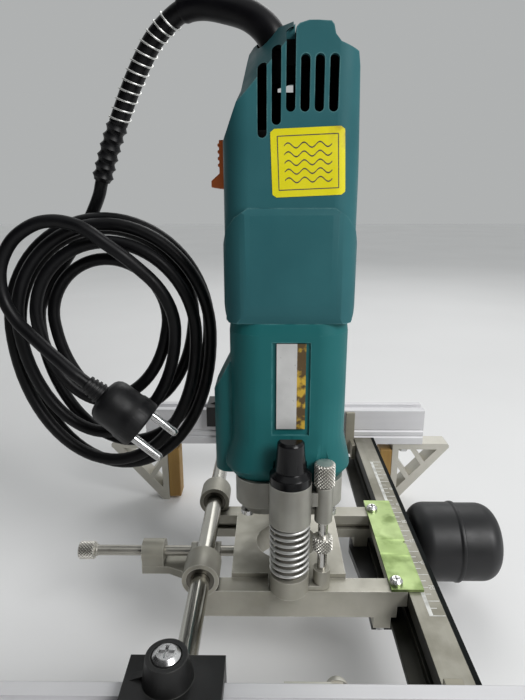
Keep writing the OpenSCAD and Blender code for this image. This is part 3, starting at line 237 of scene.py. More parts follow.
def drawn_metal(name, low, high, rough, stretch, scale=240, bump=0.06, metal=1.0):
    """Metal with fine lines; stretch is small along the lines."""
    look = Look(name, rough, metal)
    lines = look.noise(scale, 4, stretch)
    clouds = look.ramp(look.noise(26, 4), (0.3, low), (0.7, high))
    look.color(look.mix(0.35, clouds, look.ramp(lines, (0.3, low), (0.7, high))))
    look.rough(look.ramp(lines, (0.3, rough - 0.06), (0.7, rough + 0.1)))
    look.bump(lines, bump, 0.1)
    return look.mat


def grooved_metal(name, low, high, groove, rough):
    """Bright metal with painted shade in its narrow grooves."""
    look = Look(name, rough, 0.95)
    base = look.ramp(look.noise(90, 4), (0.3, low), (0.7, high))
    # Painted shade: ambient occlusion puts the groove colour into narrow grooves.
    look.color(look.mix(look.ramp(look.open_air(0.5), (0.4, 1.0), (0.72, 0.0)), base, groove))
    look.rough(look.ramp(look.noise(300, 3), (0.3, rough - 0.06), (0.7, rough + 0.1)))
    look.bump(look.noise(900, 3), 0.05, 0.1)
    return look.mat


ALONG_X = (0.02, 1, 1)
ALONG_Y = (1, 0.02, 1)
ALONG_Z = (1, 1, 0.02)
EVEN = (1, 1, 1)
SHORT_X = (0.3, 1, 1)
SHORT_Z = (1, 1, 0.3)
# The upper teal is a little greyer than the lower one: partly dust, partly painted sheen.
teal = worn_plastic("teal_plastic", (0.02, 0.1, 0.115), (0.03, 0.132, 0.148), (0.12, 0.27, 0.28),
                    rough=0.5, shine=0.18)
teal_low = worn_plastic("teal_plastic_low", (0.009, 0.11, 0.115), (0.015, 0.142, 0.147), (0.1, 0.3, 0.31),
                        rough=0.46, shine=0.2)
orange = worn_plastic("orange_plastic", (0.55, 0.1, 0.018), (0.68, 0.15, 0.03), (0.8, 0.3, 0.12),
                      rough=0.42, wear=0.4)
gloss_black = worn_plastic("gloss_black", (0.004, 0.004, 0.0045), (0.008, 0.008, 0.009), (0.03, 0.03, 0.03),
                           rough=0.2, wear=0.3, grain=0.03, shine=0.25)
satin_black = worn_plastic("satin_black", (0.009, 0.009, 0.01), (0.016, 0.016, 0.017), (0.05, 0.05, 0.05),
                           rough=0.42, wear=0.4, grain=0.2, shine=0.4)
block_black = worn_plastic("block_black", (0.007, 0.007, 0.007), (0.014, 0.014, 0.014), (0.06, 0.06, 0.055),
                           rough=0.36, wear=0.6, grain=0.14, shine=0.4)
# Near black: painted shade inside the housing and under the slot web, and the black of the rail's edge strip.
painted_shade_and_black = worn_plastic("painted_shade_and_black", (0.004, 0.005, 0.005), (0.007, 0.009, 0.009),
                            (0.01, 0.012, 0.012), rough=0.7, wear=0.2, grain=0.1, shine=0.1)
cord_black = rubber("cord_black", (0.003, 0.003, 0.0035), (0.006, 0.006, 0.007), rough=0.4, shine=0.2)
boot_black = rubber("boot_black", (0.003, 0.003, 0.004), (0.006, 0.0055, 0.007), rough=0.38, shine=0.2)
plug_black = rubber("plug_black", (0.004, 0.004, 0.0045), (0.008, 0.008, 0.009), rough=0.44, grain=0.25)
cast_zinc = casting("cast_zinc", (0.42, 0.405, 0.34), (0.57, 0.55, 0.48), (0.7, 0.68, 0.62), rough=0.5)
cast_head = casting("cast_head", (0.47, 0.46, 0.41), (0.62, 0.61, 0.55), (0.74, 0.73, 0.68), rough=0.46)
iron = casting("iron", (0.1, 0.085, 0.07), (0.2, 0.17, 0.14), (0.32, 0.28, 0.24), rough=0.5)
beam_metal = drawn_metal("beam_metal", (0.66, 0.655, 0.67), (0.77, 0.765, 0.78), 0.54, ALONG_X, metal=0.4)
jaw_metal = drawn_metal("jaw_metal", (0.5, 0.48, 0.42), (0.62, 0.6, 0.54), 0.44, ALONG_Y, metal=0.7)
bar_metal = drawn_metal("bar_metal", (0.36, 0.35, 0.31), (0.5, 0.49, 0.45), 0.2, ALONG_Y,
                        scale=300, bump=0.03)
bush_metal = drawn_metal("bush_metal", (0.1, 0.095, 0.08), (0.18, 0.17, 0.15), 0.36, EVEN)
bracket_metal = drawn_metal("bracket_metal", (0.27, 0.255, 0.2), (0.36, 0.34, 0.28), 0.5, ALONG_X, metal=0.5)
# Dark metal of the guide rods: its darkness is the painted shade under the springs.
guide_rod_shade_metal = drawn_metal("guide_rod_shade_metal", (0.12, 0.115, 0.1), (0.2, 0.19, 0.17), 0.34, ALONG_Z,
                         scale=300, bump=0.03)
rod_metal = drawn_metal("rod_metal", (0.5, 0.49, 0.47), (0.64, 0.63, 0.6), 0.22, SHORT_Z,
                        scale=300, bump=0.03)
stop_metal = drawn_metal("stop_metal", (0.4, 0.385, 0.34), (0.54, 0.52, 0.47), 0.32, SHORT_X,
                         scale=400, bump=0.05, metal=0.8)
spring_metal = drawn_metal("spring_metal", (0.62, 0.62, 0.6), (0.8, 0.8, 0.78), 0.36, EVEN,
                           scale=200, bump=0.01, metal=0.85)
brass = drawn_metal("brass", (0.55, 0.38, 0.12), (0.68, 0.5, 0.18), 0.3, EVEN)
# The third colour of screw and knurl metal is the painted shade in their grooves.
screw_metal = grooved_metal("screw_metal", (0.55, 0.55, 0.55), (0.72, 0.72, 0.72), (0.02, 0.02, 0.02),
                            rough=0.24)
knurl_metal = grooved_metal("knurl_metal", (0.68, 0.66, 0.61), (0.84, 0.82, 0.77), (0.07, 0.066, 0.055),
                            rough=0.44)


def pad_material():
    """Brown board with upright grain and pale edges."""
    look = Look("pad_brown", 0.6)
    base = look.ramp(look.noise(60, 5, (1, 1, 0.15)), (0.3, (0.24, 0.13, 0.03)), (0.7, (0.42, 0.26, 0.07)))
    look.color(look.mix(look.edge(0.6, 3.0), base, (0.5, 0.34, 0.12)))
    look.rough(look.ramp(look.noise(180), (0.3, 0.5), (0.7, 0.7)))
    look.bump(look.noise(700, 4), 0.25, 0.3)
    return look.mat


RAIL_X, RAIL_W = 62.5, 17.3
RAIL_TOP = -0.2
RAIL_DARK_EDGE = 2.3
RAIL_BRIGHT_FROM = 0.0616  # metres above the floor


def rail_material():
    """Beige top face with a dark band along its right edge; dark sides."""
    look = Look("rail_metal", 0.46, 0.6)
    up = look.part(look.node("NewGeometry").outputs["Normal"], "Z")
    high = look.ramp(look.coordinate("Z"), (RAIL_BRIGHT_FROM - 0.001, 0.0), (RAIL_BRIGHT_FROM, 1.0))
    band_x = (ROW.x + RAIL_X + RAIL_W - RAIL_DARK_EDGE) * MM
    inner = look.ramp(look.coordinate("X"), (band_x - 0.0002, 1.0), (band_x, 0.0))
    top = look.maths("MULTIPLY", look.ramp(up, (0.55, 0.0), (0.8, 1.0)), high)
    lines = look.noise(260, 4, ALONG_Y)
    bright = look.ramp(lines, (0.3, (0.27, 0.26, 0.215)), (0.7, (0.36, 0.345, 0.295)))
    stains = look.ramp(look.noise(30, 5), (0.35, (0.5, 0.49, 0.44)), (0.5, (1.0, 1.0, 1.0)))
    bright = look.mix(0.7, bright, stains, "MULTIPLY")
    dark = look.ramp(look.noise(50, 4), (0.3, (0.012, 0.012, 0.009)), (0.7, (0.03, 0.029, 0.022)))
    look.color(look.mix(look.maths("MULTIPLY", top, inner), dark, bright))
    look.rough(look.ramp(lines, (0.3, 0.4), (0.7, 0.54)))
    look.bump(lines, 0.08, 0.1)
    return look.mat


def index_material():
    """Zinc plate with a green cast, soft stains and fine scratches."""
    look = Look("index_zinc", 0.36, 0.85)
    base = look.ramp(look.noise(40, 5), (0.3, (0.24, 0.325, 0.12)), (0.7, (0.36, 0.45, 0.21)))
    stains = look.ramp(look.noise(75, 6), (0.34, (0.35, 0.4, 0.25)), (0.5, (1.0, 1.0, 1.0)))
    scratches = look.ramp(look.noise(300, 3, (0.08, 1, 1)), (0.62, 1.0), (0.7, 1.3))
    look.color(look.mix(1.0, look.mix(0.7, base, stains, "MULTIPLY"), scratches, "MULTIPLY"))
    look.rough(look.ramp(look.noise(110, 4), (0.3, 0.28), (0.7, 0.46)))
    look.bump(look.noise(260, 4), 0.06, 0.15)
    return look.mat


pad_brown = pad_material()
rail_metal = rail_material()
index_zinc = index_material()

# Knurled bands of the stop screws and of the depth collar
KNURL_TEETH, TOOTH_STEPS = 18, 8
KNURL_DEPTH, KNURL_SLOPE, KNURL_CHAMFER = 0.9, 2.2, 0.7


def around(radius, height, angle):
    """Point on a circle about the local z axis, in metres."""
    return Vector((radius * math.cos(angle), radius * math.sin(angle), height)) * MM


class Shape:
    """Points and faces of one piece, with a material number for each face."""

    def __init__(self):
        self.points = []
        self.faces = []
        self.numbers = []

    def add(self, points, faces, number=0):
        base = len(self.points)
        self.points += [Vector(p) for p in points]
        self.faces += [[base + i for i in face] for face in faces]
        self.numbers += [number] * len(faces)

    def skin(self, rings, number=0):
        """Closed skin over rings of equal length, with a cap on both ends."""
        n = len(rings[0])
        points = [p for ring in rings for p in ring]
        faces = [[j * n + i, j * n + (i + 1) % n, (j + 1) * n + (i + 1) % n, (j + 1) * n + i]
                 for j in range(len(rings) - 1) for i in range(n)]
        faces.append(list(range(n))[::-1])
        faces.append([(len(rings) - 1) * n + i for i in range(n)])
        self.add(points, faces, number)

    def lathe(self, frame_at, profile, n, number=0):
        """Turned shape; the profile is (radius, height) in millimetres."""
        angles = [2 * math.pi * i / n for i in range(n)]
        self.skin([[frame_at @ around(r, h, a) for a in angles] for r, h in profile], number)

    def knurl(self, frame_at, radius, low, high):
        """Diamond knurled band between two heights, with chamfered ends."""
        pitch = 2 * math.pi * radius / KNURL_TEETH
        rows = round((high - low) / pitch * TOOTH_STEPS)
        steps = KNURL_TEETH * TOOTH_STEPS
        rings = []
        for j in range(rows + 1):
            h = low + (high - low) * j / rows
            chamfer = max(0.0, KNURL_CHAMFER - min(h - low, high - h))
            ring = []
            for i in range(steps):
                turn = i / TOOTH_STEPS
                cut = max(abs((turn + s * h / pitch) % 1.0 - 0.5) * 2 for s in (-1, 1))
                groove = max(0.0, 1 - KNURL_SLOPE * (1 - cut))
                r = radius - KNURL_DEPTH * groove - chamfer
                ring.append(frame_at @ around(r, h, 2 * math.pi * i / steps))
            rings.append(ring)
        self.skin(rings)

    def tube(self, points, radii, n, side=FRONT):
        """Tube along points, in metres; radii in millimetres."""
        rings = []
        for p, r, (u, v) in zip(points, radii, crossways(points, side)):
            angles = [2 * math.pi * k / n for k in range(n)]
            rings.append([p + r * MM * (math.cos(a) * u + math.sin(a) * v) for a in angles])
        self.skin(rings)

    def slab(self, frame_at, x0, y0, x1, y1, low, high):
        """Flat box on the local x, y plane."""
        outline = [(x0, y0), (x1, y0), (x1, y1), (x0, y1)]
        self.skin([[frame_at @ (Vector((x, y, h)) * MM) for x, y in outline] for h in (low, high)])


def crossways(points, side):
    """Two directions across a line at each of its points, the first turned towards side."""
    last = len(points) - 1
    pairs = []
    for i in range(len(points)):
        along = (points[min(i + 1, last)] - points[max(i - 1, 0)]).normalized()
        u = (side - side.dot(along) * along).normalized()
        pairs.append((u, along.cross(u)))
    return pairs


def smooth(mesh, angle):
    """Smooth shading, with edges over the angle left sharp."""
    mesh.shade_smooth()
    mesh.set_sharp_from_angle(angle=math.radians(angle))


def new_object(name, shape, materials, angle):
    """Object of a shape, with its faces turned outwards and its sharp edges marked."""
    mesh = bpy.data.meshes.new(name)
    mesh.from_pydata(shape.points, [], shape.faces)
    for material in materials:
        mesh.materials.append(material)
    mesh.polygons.foreach_set("material_index", shape.numbers)
    turned = bmesh.new()
    turned.from_mesh(mesh)
    bmesh.ops.recalc_face_normals(turned, faces=turned.faces)
    turned.to_mesh(mesh)
    turned.free()
    smooth(mesh, angle)
    return bpy.data.objects.new(name, mesh)


def set_out(piece, body, nodes=()):
    """Links a piece, lets it ride on its body and says which nodes it stands for."""
    scene.collection.objects.link(piece)
    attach(piece, body)
    if nodes:
        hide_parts(*nodes)
    return piece


def piece(name, shape, materials, body, nodes=(), slot=None, angle=35):
    """New piece of the part, made from a shape."""
    return set_out(new_object(name, shape, materials, angle), body, nodes)


SHARP_ANGLE, FLAT_ANGLE = 32, 0.4
SAME_POINT, NO_LENGTH = 0.002, 0.0001


def dress(node, material, width):
    """The CAD node's shape with its sharp edges rounded, in a full material."""
    mesh = bpy.data.meshes.new(node + "_dressed")
    shape = bmesh.new()
    shape.from_mesh(frame["nodes"][node].data)
    bmesh.ops.remove_doubles(shape, verts=shape.verts, dist=SAME_POINT * MM)
    flat, limit = math.radians(FLAT_ANGLE), math.radians(SHARP_ANGLE)
    bmesh.ops.dissolve_limit(shape, angle_limit=flat, verts=shape.verts, edges=shape.edges)
    sharp = [e for e in shape.edges if len(e.link_faces) == 2 and e.calc_face_angle(0) > limit]
    bmesh.ops.bevel(shape, geom=sharp, offset=width * MM, segments=2, profile=0.5, affect="EDGES",
                    clamp_overlap=True)
    bmesh.ops.dissolve_degenerate(shape, dist=NO_LENGTH * MM, edges=shape.edges)
    shape.to_mesh(mesh)
    shape.free()
    mesh.materials.clear()
    mesh.materials.append(material)
    smooth(mesh, SHARP_ANGLE)
    dressed = bpy.data.objects.new(node + "_dressed", mesh)
    fair = dressed.modifiers.new("fair_normals", "WEIGHTED_NORMAL")
    fair.keep_sharp = True
    return set_out(dressed, body_of[node], (node,))


# Cable route, the same as in the part: the lead, the hanging coil, the tail to the plug
CORD_D = 7
LEAD = [(-4, 0, 250), (-7, 0, 260), (-10.3, 0, 270.5), (-19, 2.5, 278.7), (-31, 7, 283.5), (-43, 11, 286),
        (-53, 14, 284.5), (-63, 18, 278.5), (-71, 21, 270.5), (-81, 25, 255.5), (-91, 29, 237),
        (-97.5, 32, 224), (-104, 35.5, 208.5), (-107, 38, 201), (-111.5, 40.5, 193), (-117, 42.5, 184.5),
        (-124.5, 43, 173.5), (-132.5, 42.5, 162.5), (-140, 40.5, 151)]
BOOT_LAST, SLEEVE_LAST, GUARD_LAST = 6, 12, 10  # counts of the lead's points where these end
COIL_AT = (-102.5, 27, 125)
COIL_W, COIL_H, COIL_ABOVE = 124, 157, 0.425
COIL_DEEP, COIL_WIDE, COIL_SPREAD = 9.4, 11.5, 1.2
COIL_STRANDS, COIL_TWISTS = 7, -2
COIL_FROM, COIL_TO, COIL_LANE = 168, 45, 90
COIL_LEAVE, COIL_FRONT = 80, 7
COIL_STEP, COIL_JOIN = 5, 15
TAIL = [(-80.5, 11.5, 162), (-88, 9.8, 169), (-96.5, 9, 175.5), (-104.5, 8.5, 181.5), (-112, 8.5, 185.5),
        (-123, 8.5, 187.5), (-134, 8.5, 185.5), (-145.5, 8.5, 178), (-153, 8.5, 166.5), (-155, 8, 155.5),
        (-153, 7, 144.5), (-147.5, 5.5, 135), (-141, 3.5, 128.7), (-130.5, 0.5, 119.7)]
TAIL_STRAIGHT = 5
PLUG_END = Vector((-110, -2, 102))
PLUG_DIR = Vector((0.757, 0, -0.653)).normalized()
LINE_PARTS = 8


def spline(points, t):
    """Catmull-Rom curve through points; t counts points from the first."""
    last = len(points) - 1
    i = min(int(t), last - 1)
    u = t - i
    a, b, c, d = (Vector(points[min(max(k, 0), last)]) for k in (i - 1, i, i + 1, i + 2))
    square = 2 * a - 5 * b + 4 * c - d
    cube = 3 * b - a - 3 * c + d
    return 0.5 * (2 * b + u * (c - a) + u * u * square + u ** 3 * cube)


coil_sweep = 360 * (COIL_STRANDS - 1) + COIL_TO - COIL_FROM


def coil_point(turned):
    """Point of the hanging coil: its strands twist, spread at the bottom and leave to the front."""
    angle = math.radians(COIL_FROM + turned)
    lane = math.radians(COIL_LANE + turned * COIL_TWISTS / COIL_STRANDS)
    half_h = COIL_H * (COIL_ABOVE if math.sin(angle) > 0 else 1 - COIL_ABOVE)
    wide = COIL_WIDE * (1 + COIL_SPREAD * ((1 - math.sin(angle)) / 2) ** 3)
    out = wide * math.cos(lane) - wide - CORD_D / 2
    left = min(max((turned - coil_sweep) / COIL_LEAVE + 1, 0), 1)
    return Vector((COIL_AT[0] + (COIL_W / 2 + out) * math.cos(angle),
                   COIL_AT[1] + COIL_DEEP * math.sin(lane) - COIL_FRONT * left * left * (3 - 2 * left),
                   COIL_AT[2] + (half_h + out) * math.sin(angle)))


coil_steps = round(coil_sweep / COIL_STEP)
coil = [coil_point(coil_sweep * i / coil_steps) for i in range(coil_steps + 1)]
lead_line = LEAD + [coil[0], coil_point(COIL_JOIN)]
tail_line = [coil[-3], coil[-1]] + TAIL + [PLUG_END - k * TAIL_STRAIGHT * PLUG_DIR for k in (2, 1, 0)]
lead_parts = LINE_PARTS * (len(LEAD) - SLEEVE_LAST)
tail_parts = LINE_PARTS * (len(tail_line) - 2)
cord_line = [spline(lead_line, SLEEVE_LAST + i / LINE_PARTS) for i in range(lead_parts)]
cord_line += coil
cord_line += [spline(tail_line, 1 + i / LINE_PARTS) for i in range(1, tail_parts + 1)]
cord_points = [at(*p) for p in cord_line]

cord_data = bpy.data.curves.new("cord", "CURVE")
cord_data.dimensions = "3D"
cord_data.bevel_depth = CORD_D / 2 * MM
cord_data.bevel_resolution = 6
cord_data.use_fill_caps = True
cord_spline = cord_data.splines.new("POLY")
cord_spline.points.add(len(cord_points) - 1)
for spot, p in zip(cord_spline.points, cord_points):
    spot.co = (*p, 1.0)
cord_spline.use_smooth = True
cord_data.materials.append(cord_black)
cord = set_out(bpy.data.objects.new("cord", cord_data), "head", ("cord_lead", "cord_coil", "cord_tail"))


def lead_at(t):
    """Point of the lead, in metres; t counts its points from the first."""
    return at(*spline(lead_line, t))


def even_lead(first, last, steps, fine_steps=600):
    """Points of the lead from one count to another, evenly spaced by length."""
    fine = [lead_at(first + (last - first) * i / fine_steps) for i in range(fine_steps + 1)]
    run = [0.0]
    for a, b in zip(fine, fine[1:]):
        run.append(run[-1] + (b - a).length)
    points = []
    k = 0
    for i in range(steps + 1):
        want = run[-1] * i / steps
        while k < fine_steps - 1 and run[k + 1] < want:
            k += 1
        points.append(fine[k].lerp(fine[k + 1], (want - run[k]) / (run[k + 1] - run[k])))
    return points


# Smooth boot that leaves the housing and narrows towards the sleeve
CABLE_SIDES = 32
BOOT_D, BOOT_STEPS = 14, 48
BOOT_STRAIGHT, BOOT_SLIM, BOOT_LIP = 1 / 3, 1.68, 0.6
boot = Shape()
boot_shares = [i / BOOT_STEPS for i in range(BOOT_STEPS + 1)]
boot_route = [lead_at(BOOT_LAST * share) for share in boot_shares]
boot_radii = [BOOT_D / 2 - max(0.0, share - BOOT_STRAIGHT) * BOOT_SLIM for share in boot_shares]
boot_radii[-1] -= BOOT_LIP
boot.tube(boot_route, boot_radii, CABLE_SIDES)
boot_piece = piece("boot", boot, [boot_black], "head", ("cable_boot",))

# Sleeve: smooth under the guard spring, then sharp ribs
SLEEVE_R, SLEEVE_STEPS, SLEEVE_HIDDEN = 4.9, 60, 0.1
SLEEVE_RIBS, RIB_RINGS = 6, 16
RIB_LOW, RIB_HIGH, RIB_POWER, RIB_ANGLE = 4.5, 5.8, 1.6, 70
sleeve = Shape()
sleeve_route = even_lead(BOOT_LAST - SLEEVE_HIDDEN, GUARD_LAST, SLEEVE_STEPS)
sleeve_radii = [SLEEVE_R] * len(sleeve_route)
for i, p in enumerate(even_lead(GUARD_LAST, SLEEVE_LAST, SLEEVE_RIBS * RIB_RINGS)[1:], 1):
    rise = 1 - abs(2 * (i % RIB_RINGS) / RIB_RINGS - 1)
    sleeve_route.append(p)
    sleeve_radii.append(RIB_LOW + (RIB_HIGH - RIB_LOW) * rise ** RIB_POWER)
sleeve.tube(sleeve_route, sleeve_radii, CABLE_SIDES)
sleeve_piece = piece("ribbed_sleeve_tube", sleeve, [cord_black], "head", ("ribbed_sleeve",), angle=RIB_ANGLE)

# Guard spring over the sleeve
TURN_STEPS, WIRE_SIDES = 36, 12
GUARD_TURNS, GUARD_WIRE, GUARD_AFTER = 12, 1.0, 0.4
guard = Shape()
guard_mid = even_lead(BOOT_LAST + GUARD_AFTER, GUARD_LAST, GUARD_TURNS * TURN_STEPS)
guard_reach = (SLEEVE_R + GUARD_WIRE / 2) * MM
guard_line = []
for i, (p, (u, v)) in enumerate(zip(guard_mid, crossways(guard_mid, FRONT))):
    a = 2 * math.pi * i / TURN_STEPS + math.pi
    guard_line.append(p + guard_reach * (math.cos(a) * u + math.sin(a) * v))
guard.tube(guard_line, [GUARD_WIRE / 2] * len(guard_line), WIRE_SIDES)
guard_piece = piece("guard_wire", guard, [spring_metal], "head", ("guard_spring",))

# Plug: ribbed neck, round shell with a finger grip, two pins
PLUG_R, PLUG_FACE, PLUG_SIDES = 14, 38, 56
NECK_R, NECK_RINGS, NECK_STEP, NECK_GROW, NECK_GROOVE = 4.9, 4, 2.5, 0.35, 0.6
FINGER_RIBS, FINGER_AT, FINGER_HALF = 18, 33, 3.0
PIN_R, PIN_GAP, PIN_ROLL, PIN_SIDES = 2.4, 19, math.radians(30), 24
plug = Shape()
plug_turn = Matrix.Rotation(math.atan2(PLUG_DIR.x, PLUG_DIR.z), 4, "Y")
plug_frame = Matrix.Translation(at(*PLUG_END)) @ plug_turn
neck = [(2.0, 0.0), (4.6, 0.0)]
for k in range(NECK_RINGS):
    r, h = NECK_R + NECK_GROW * k, NECK_STEP * k
    neck += [(r, h + 0.4), (r, h + 1.7), (r - NECK_GROOVE, h + 1.9), (r - NECK_GROOVE, h + 2.7)]
shell = [(7.2, 10.6), (9.4, 11.2), (11.2, 12.4), (12.4, 14.2), (13.0, 16.6), (13.2, 20.0), (13.3, 24.0),
         (13.4, 27.6)]
rim = [(PLUG_R, 29.0), (PLUG_R, PLUG_FACE - 1.2), (PLUG_R - 0.4, PLUG_FACE - 0.4), (PLUG_R - 1.1, PLUG_FACE),
       (3.0, PLUG_FACE)]
plug.lathe(plug_frame, neck + shell + rim, PLUG_SIDES)
rib = [(-0.6, -0.8), (0.05, -0.6), (0.05, 0.6), (-0.6, 0.8)]
for i in range(FINGER_RIBS):
    turn = Matrix.Rotation(2 * math.pi * i / FINGER_RIBS, 4, "Z")
    rib_frame = plug_frame @ turn @ Matrix.Translation(Vector((PLUG_R, 0, FINGER_AT)) * MM)
    plug.skin([[rib_frame @ (Vector((x, y, h)) * MM) for x, y in rib] for h in (-FINGER_HALF, FINGER_HALF)])
for s in (-1, 1):
    pin_shift = Matrix.Translation(Vector((0, s * PIN_GAP / 2, 0)) * MM)
    pin = plug_frame @ Matrix.Rotation(PIN_ROLL, 4, "Z") @ pin_shift
    profile = [(PIN_R, PLUG_FACE - 0.5), (PIN_R, 55.2), (PIN_R - 0.3, 56.2), (PIN_R / 2, 57.0)]
    plug.lathe(pin, profile, PIN_SIDES, 1)
plug_piece = piece("plug_body", plug, [plug_black, screw_metal], "head", ("plug",))

# Frame and jaws
for end in ("front", "rear"):
    dress(end + "_beam", beam_metal, 0.35)
    dress(end + "_bar_block", block_black, 0.8)
    for hand in ("left", "right"):
        corner = "%s_%s_" % (end, hand)
        dress(corner + "jaw", jaw_metal, 0.5)
        dress(corner + "pad", pad_brown, 0.9)
        dress(corner + "clamp_bolt", screw_metal, 0.3)
dress("guide_bar", bar_metal, 0.5)
dress("bar_block_screws", screw_metal, 0.12)
dress("scale_rail", rail_metal, 0.4)
dress("rail_end_brackets", bracket_metal, 0.4)
dress("front_stop", jaw_metal, 0.12)

# Carriage and grip
dress("carriage", cast_zinc, 0.7)
dress("bar_bushes", bush_metal, 0.3)
dress("index_plate", index_zinc, 0.3)
dress("index_screws", screw_metal, 0.12)
dress("grip_bracket", block_black, 0.6)
dress("bracket_bolts", screw_metal, 0.3)
dress("grip", satin_black, 0.5)
dress("grip_cap", satin_black, 0.5)
dress("grip_bolt", screw_metal, 0.3)

# Foot that joins the stop boss to the arm of the carriage
STOP_Z = -5
BOSS_X0, BOSS_LEN, BOSS_R = -86, 13, 7
FOOT_LOW, FOOT_HALF, FOOT_LAP, FOOT_SHORT = -11.4, 6.9, 0.3, 0.1
HOLLOW_STEPS = 24
boss_foot = Shape()
hollow_r = BOSS_R - FOOT_LAP
foot_outline = [(FOOT_HALF, STOP_Z), (FOOT_HALF, FOOT_LOW), (-FOOT_HALF, FOOT_LOW), (-FOOT_HALF, STOP_Z)]
for i in range(HOLLOW_STEPS + 1):
    a = -math.pi * i / HOLLOW_STEPS
    foot_outline.append((-hollow_r * math.cos(a), STOP_Z + hollow_r * math.sin(a)))
foot_ends = [BOSS_X0 + FOOT_SHORT, BOSS_X0 + BOSS_LEN - FOOT_SHORT]
boss_foot.skin([[at(x, y, z) for y, z in foot_outline] for x in foot_ends])
piece("boss_foot", boss_foot, [cast_zinc], "carriage", slot=slot_of["carriage"])

# Cross slide and stops
dress("saddle", cast_zinc, 0.6)
# The guide rods get dark metal that paints in the shade under the springs.
dress("guide_rods", guide_rod_shade_metal, 0.3)
dress("side_lock_nut", stop_metal, 0.4)
dress("side_stop_nut", stop_metal, 0.4)

# Head
dress("head_casting", cast_head, 0.7)
dress("lower_housing", teal_low, 0.7)
shell_piece = dress("upper_housing", teal, 0.5)
dress("column_caps", gloss_black, 0.7)
dress("head_screws", screw_metal, 0.12)
dress("switch_slider", orange, 0.5)
dress("switch_block", satin_black, 0.5)
dress("stator", iron, 0.6)
dress("bearings", screw_metal, 0.4)
dress("brush_holders", brass, 0.3)
dress("spindle", rod_metal, 0.3)
dress("armature", iron, 0.4)
dress("fan", satin_black, 0.3)
dress("collet_nut", stop_metal, 0.5)

# The shell's inner faces are painted near black, as shade inside the housing.
HOUSING_SHIFT = -0.9
INNER_X, INNER_Y = 28.4, 25.4
SHELL_MIDDLE = Vector((HOUSING_SHIFT, 0, 225))
shell_piece.data.materials.append(painted_shade_and_black)
for face in shell_piece.data.polygons:
    middle = face.center / MM - ROW
    faces_in = face.normal.dot(middle - SHELL_MIDDLE) < 0
    if faces_in and abs(middle.x - HOUSING_SHIFT) < INNER_X and abs(middle.y) < INNER_Y:
        face.material_index = 1

# Web across the slot beside the raised block, teal above and painted shade below; heights count from the
# shell's top
SLOT_X0, SLOT_X1, SLOT_Y = -3.6, 0.2, -20
WEB_LEFT, WEB_RIGHT, WEB_SPLIT, WEB_LOW = -5.4, -2.2, -8, -18
WEB_HALF, WEB_INSET, WEB_LAP = 0.2, 0.05, 0.2
shell_top = max(v.co.z for v in shell_piece.data.vertices) / MM - ROW.z
slot_web = Shape()
shade_x0, shade_x1, shade_top = SLOT_X0 + WEB_INSET, SLOT_X1 - WEB_INSET, WEB_SPLIT + WEB_LAP
teal_part = [(SLOT_X0, WEB_SPLIT), (SLOT_X1, WEB_SPLIT), (SLOT_X1, WEB_RIGHT), (SLOT_X0, WEB_LEFT)]
shade_part = [(shade_x0, WEB_LOW), (shade_x1, WEB_LOW), (shade_x1, shade_top), (shade_x0, shade_top)]
# The lower sheet is near black, painted shade in the slot.
for index, half, outline in ((0, WEB_HALF, teal_part), (1, WEB_HALF - WEB_INSET, shade_part)):
    slot_web.skin([[at(x, SLOT_Y + y, shell_top + z) for x, z in outline] for y in (-half, half)], index)
piece("slot_web", slot_web, [teal, painted_shade_and_black], "head", slot="housing_plastic")

# Plunge springs with even turns
SPRING_D, SPRING_WIRE, SPRING_TURNS = 21, 1.6, 8
SPRING_LOW, SPRING_HIGH, SPRING_FREE = 10.5, 40.7, 0.1
COLUMN_Y = 37
WIRE_ANGLE = 50
spring_r = (SPRING_D - SPRING_WIRE) / 2
spring_steps = SPRING_TURNS * TURN_STEPS
wire_low = SPRING_LOW + SPRING_FREE + SPRING_WIRE / 2
wire_high = SPRING_HIGH - SPRING_FREE - SPRING_WIRE / 2
for end, side in (("front", -1), ("rear", 1)):
    spring = Shape()
    line = []
    for i in range(spring_steps + 1):
        a = 2 * math.pi * i / TURN_STEPS
        z = wire_low + (wire_high - wire_low) * i / spring_steps
        line.append(at(spring_r * math.cos(a), side * COLUMN_Y + spring_r * math.sin(a), z))
    spring.tube(line, [SPRING_WIRE / 2] * len(line), WIRE_SIDES, UP)
    name = end + "_spring"
    wire = new_object(name + "_wire", spring, [spring_metal], WIRE_ANGLE)
    scene.collection.objects.link(wire)
    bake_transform(wire)
    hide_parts(name)

# Knurled stop screws and the depth collar
SIDE_X0, SIDE_KNOB_R, SIDE_KNOB_LEN = -124.4, 5.25, 9.4
DEPTH_AT, DEPTH_KNOB_R = (17.2, -34.5), 5.3
DEPTH_KNOB_LOW, DEPTH_KNOB_HIGH = 59.5, 71.8
COLLAR_LOW, COLLAR_HIGH = 22, 30
KNURL_ANGLE, ROD_SIDES = 25, 32
side_frame = place((SIDE_X0, 0, STOP_Z), (1, 0, 0))
side_screw = Shape()
side_screw.knurl(side_frame, SIDE_KNOB_R, 0.0, SIDE_KNOB_LEN)
side_screw.lathe(side_frame, [(3.5, 9.2), (3.5, 10.6), (3.0, 11.2), (3.0, 102.6), (2.5, 103.1)], ROD_SIDES, 1)
piece("side_screw", side_screw, [knurl_metal, stop_metal], "side_stop", ("side_stop_rod",), angle=KNURL_ANGLE)
depth_frame = place((*DEPTH_AT, 0), (0, 0, 1))
depth_screw = Shape()
depth_screw.knurl(depth_frame, DEPTH_KNOB_R, DEPTH_KNOB_LOW, DEPTH_KNOB_HIGH)
depth_screw.lathe(depth_frame, [(2.0, 2.9), (2.5, 3.4), (2.5, 59.6), (1.6, 59.8)], ROD_SIDES, 1)
piece("depth_screw", depth_screw, [knurl_metal, rod_metal], "depth_stop", ("depth_rod",), angle=KNURL_ANGLE)
collar = Shape()
collar.knurl(depth_frame, DEPTH_KNOB_R, COLLAR_LOW, COLLAR_HIGH)
piece("depth_collar", collar, [knurl_metal], "depth_collar", ("depth_nut",), angle=KNURL_ANGLE)

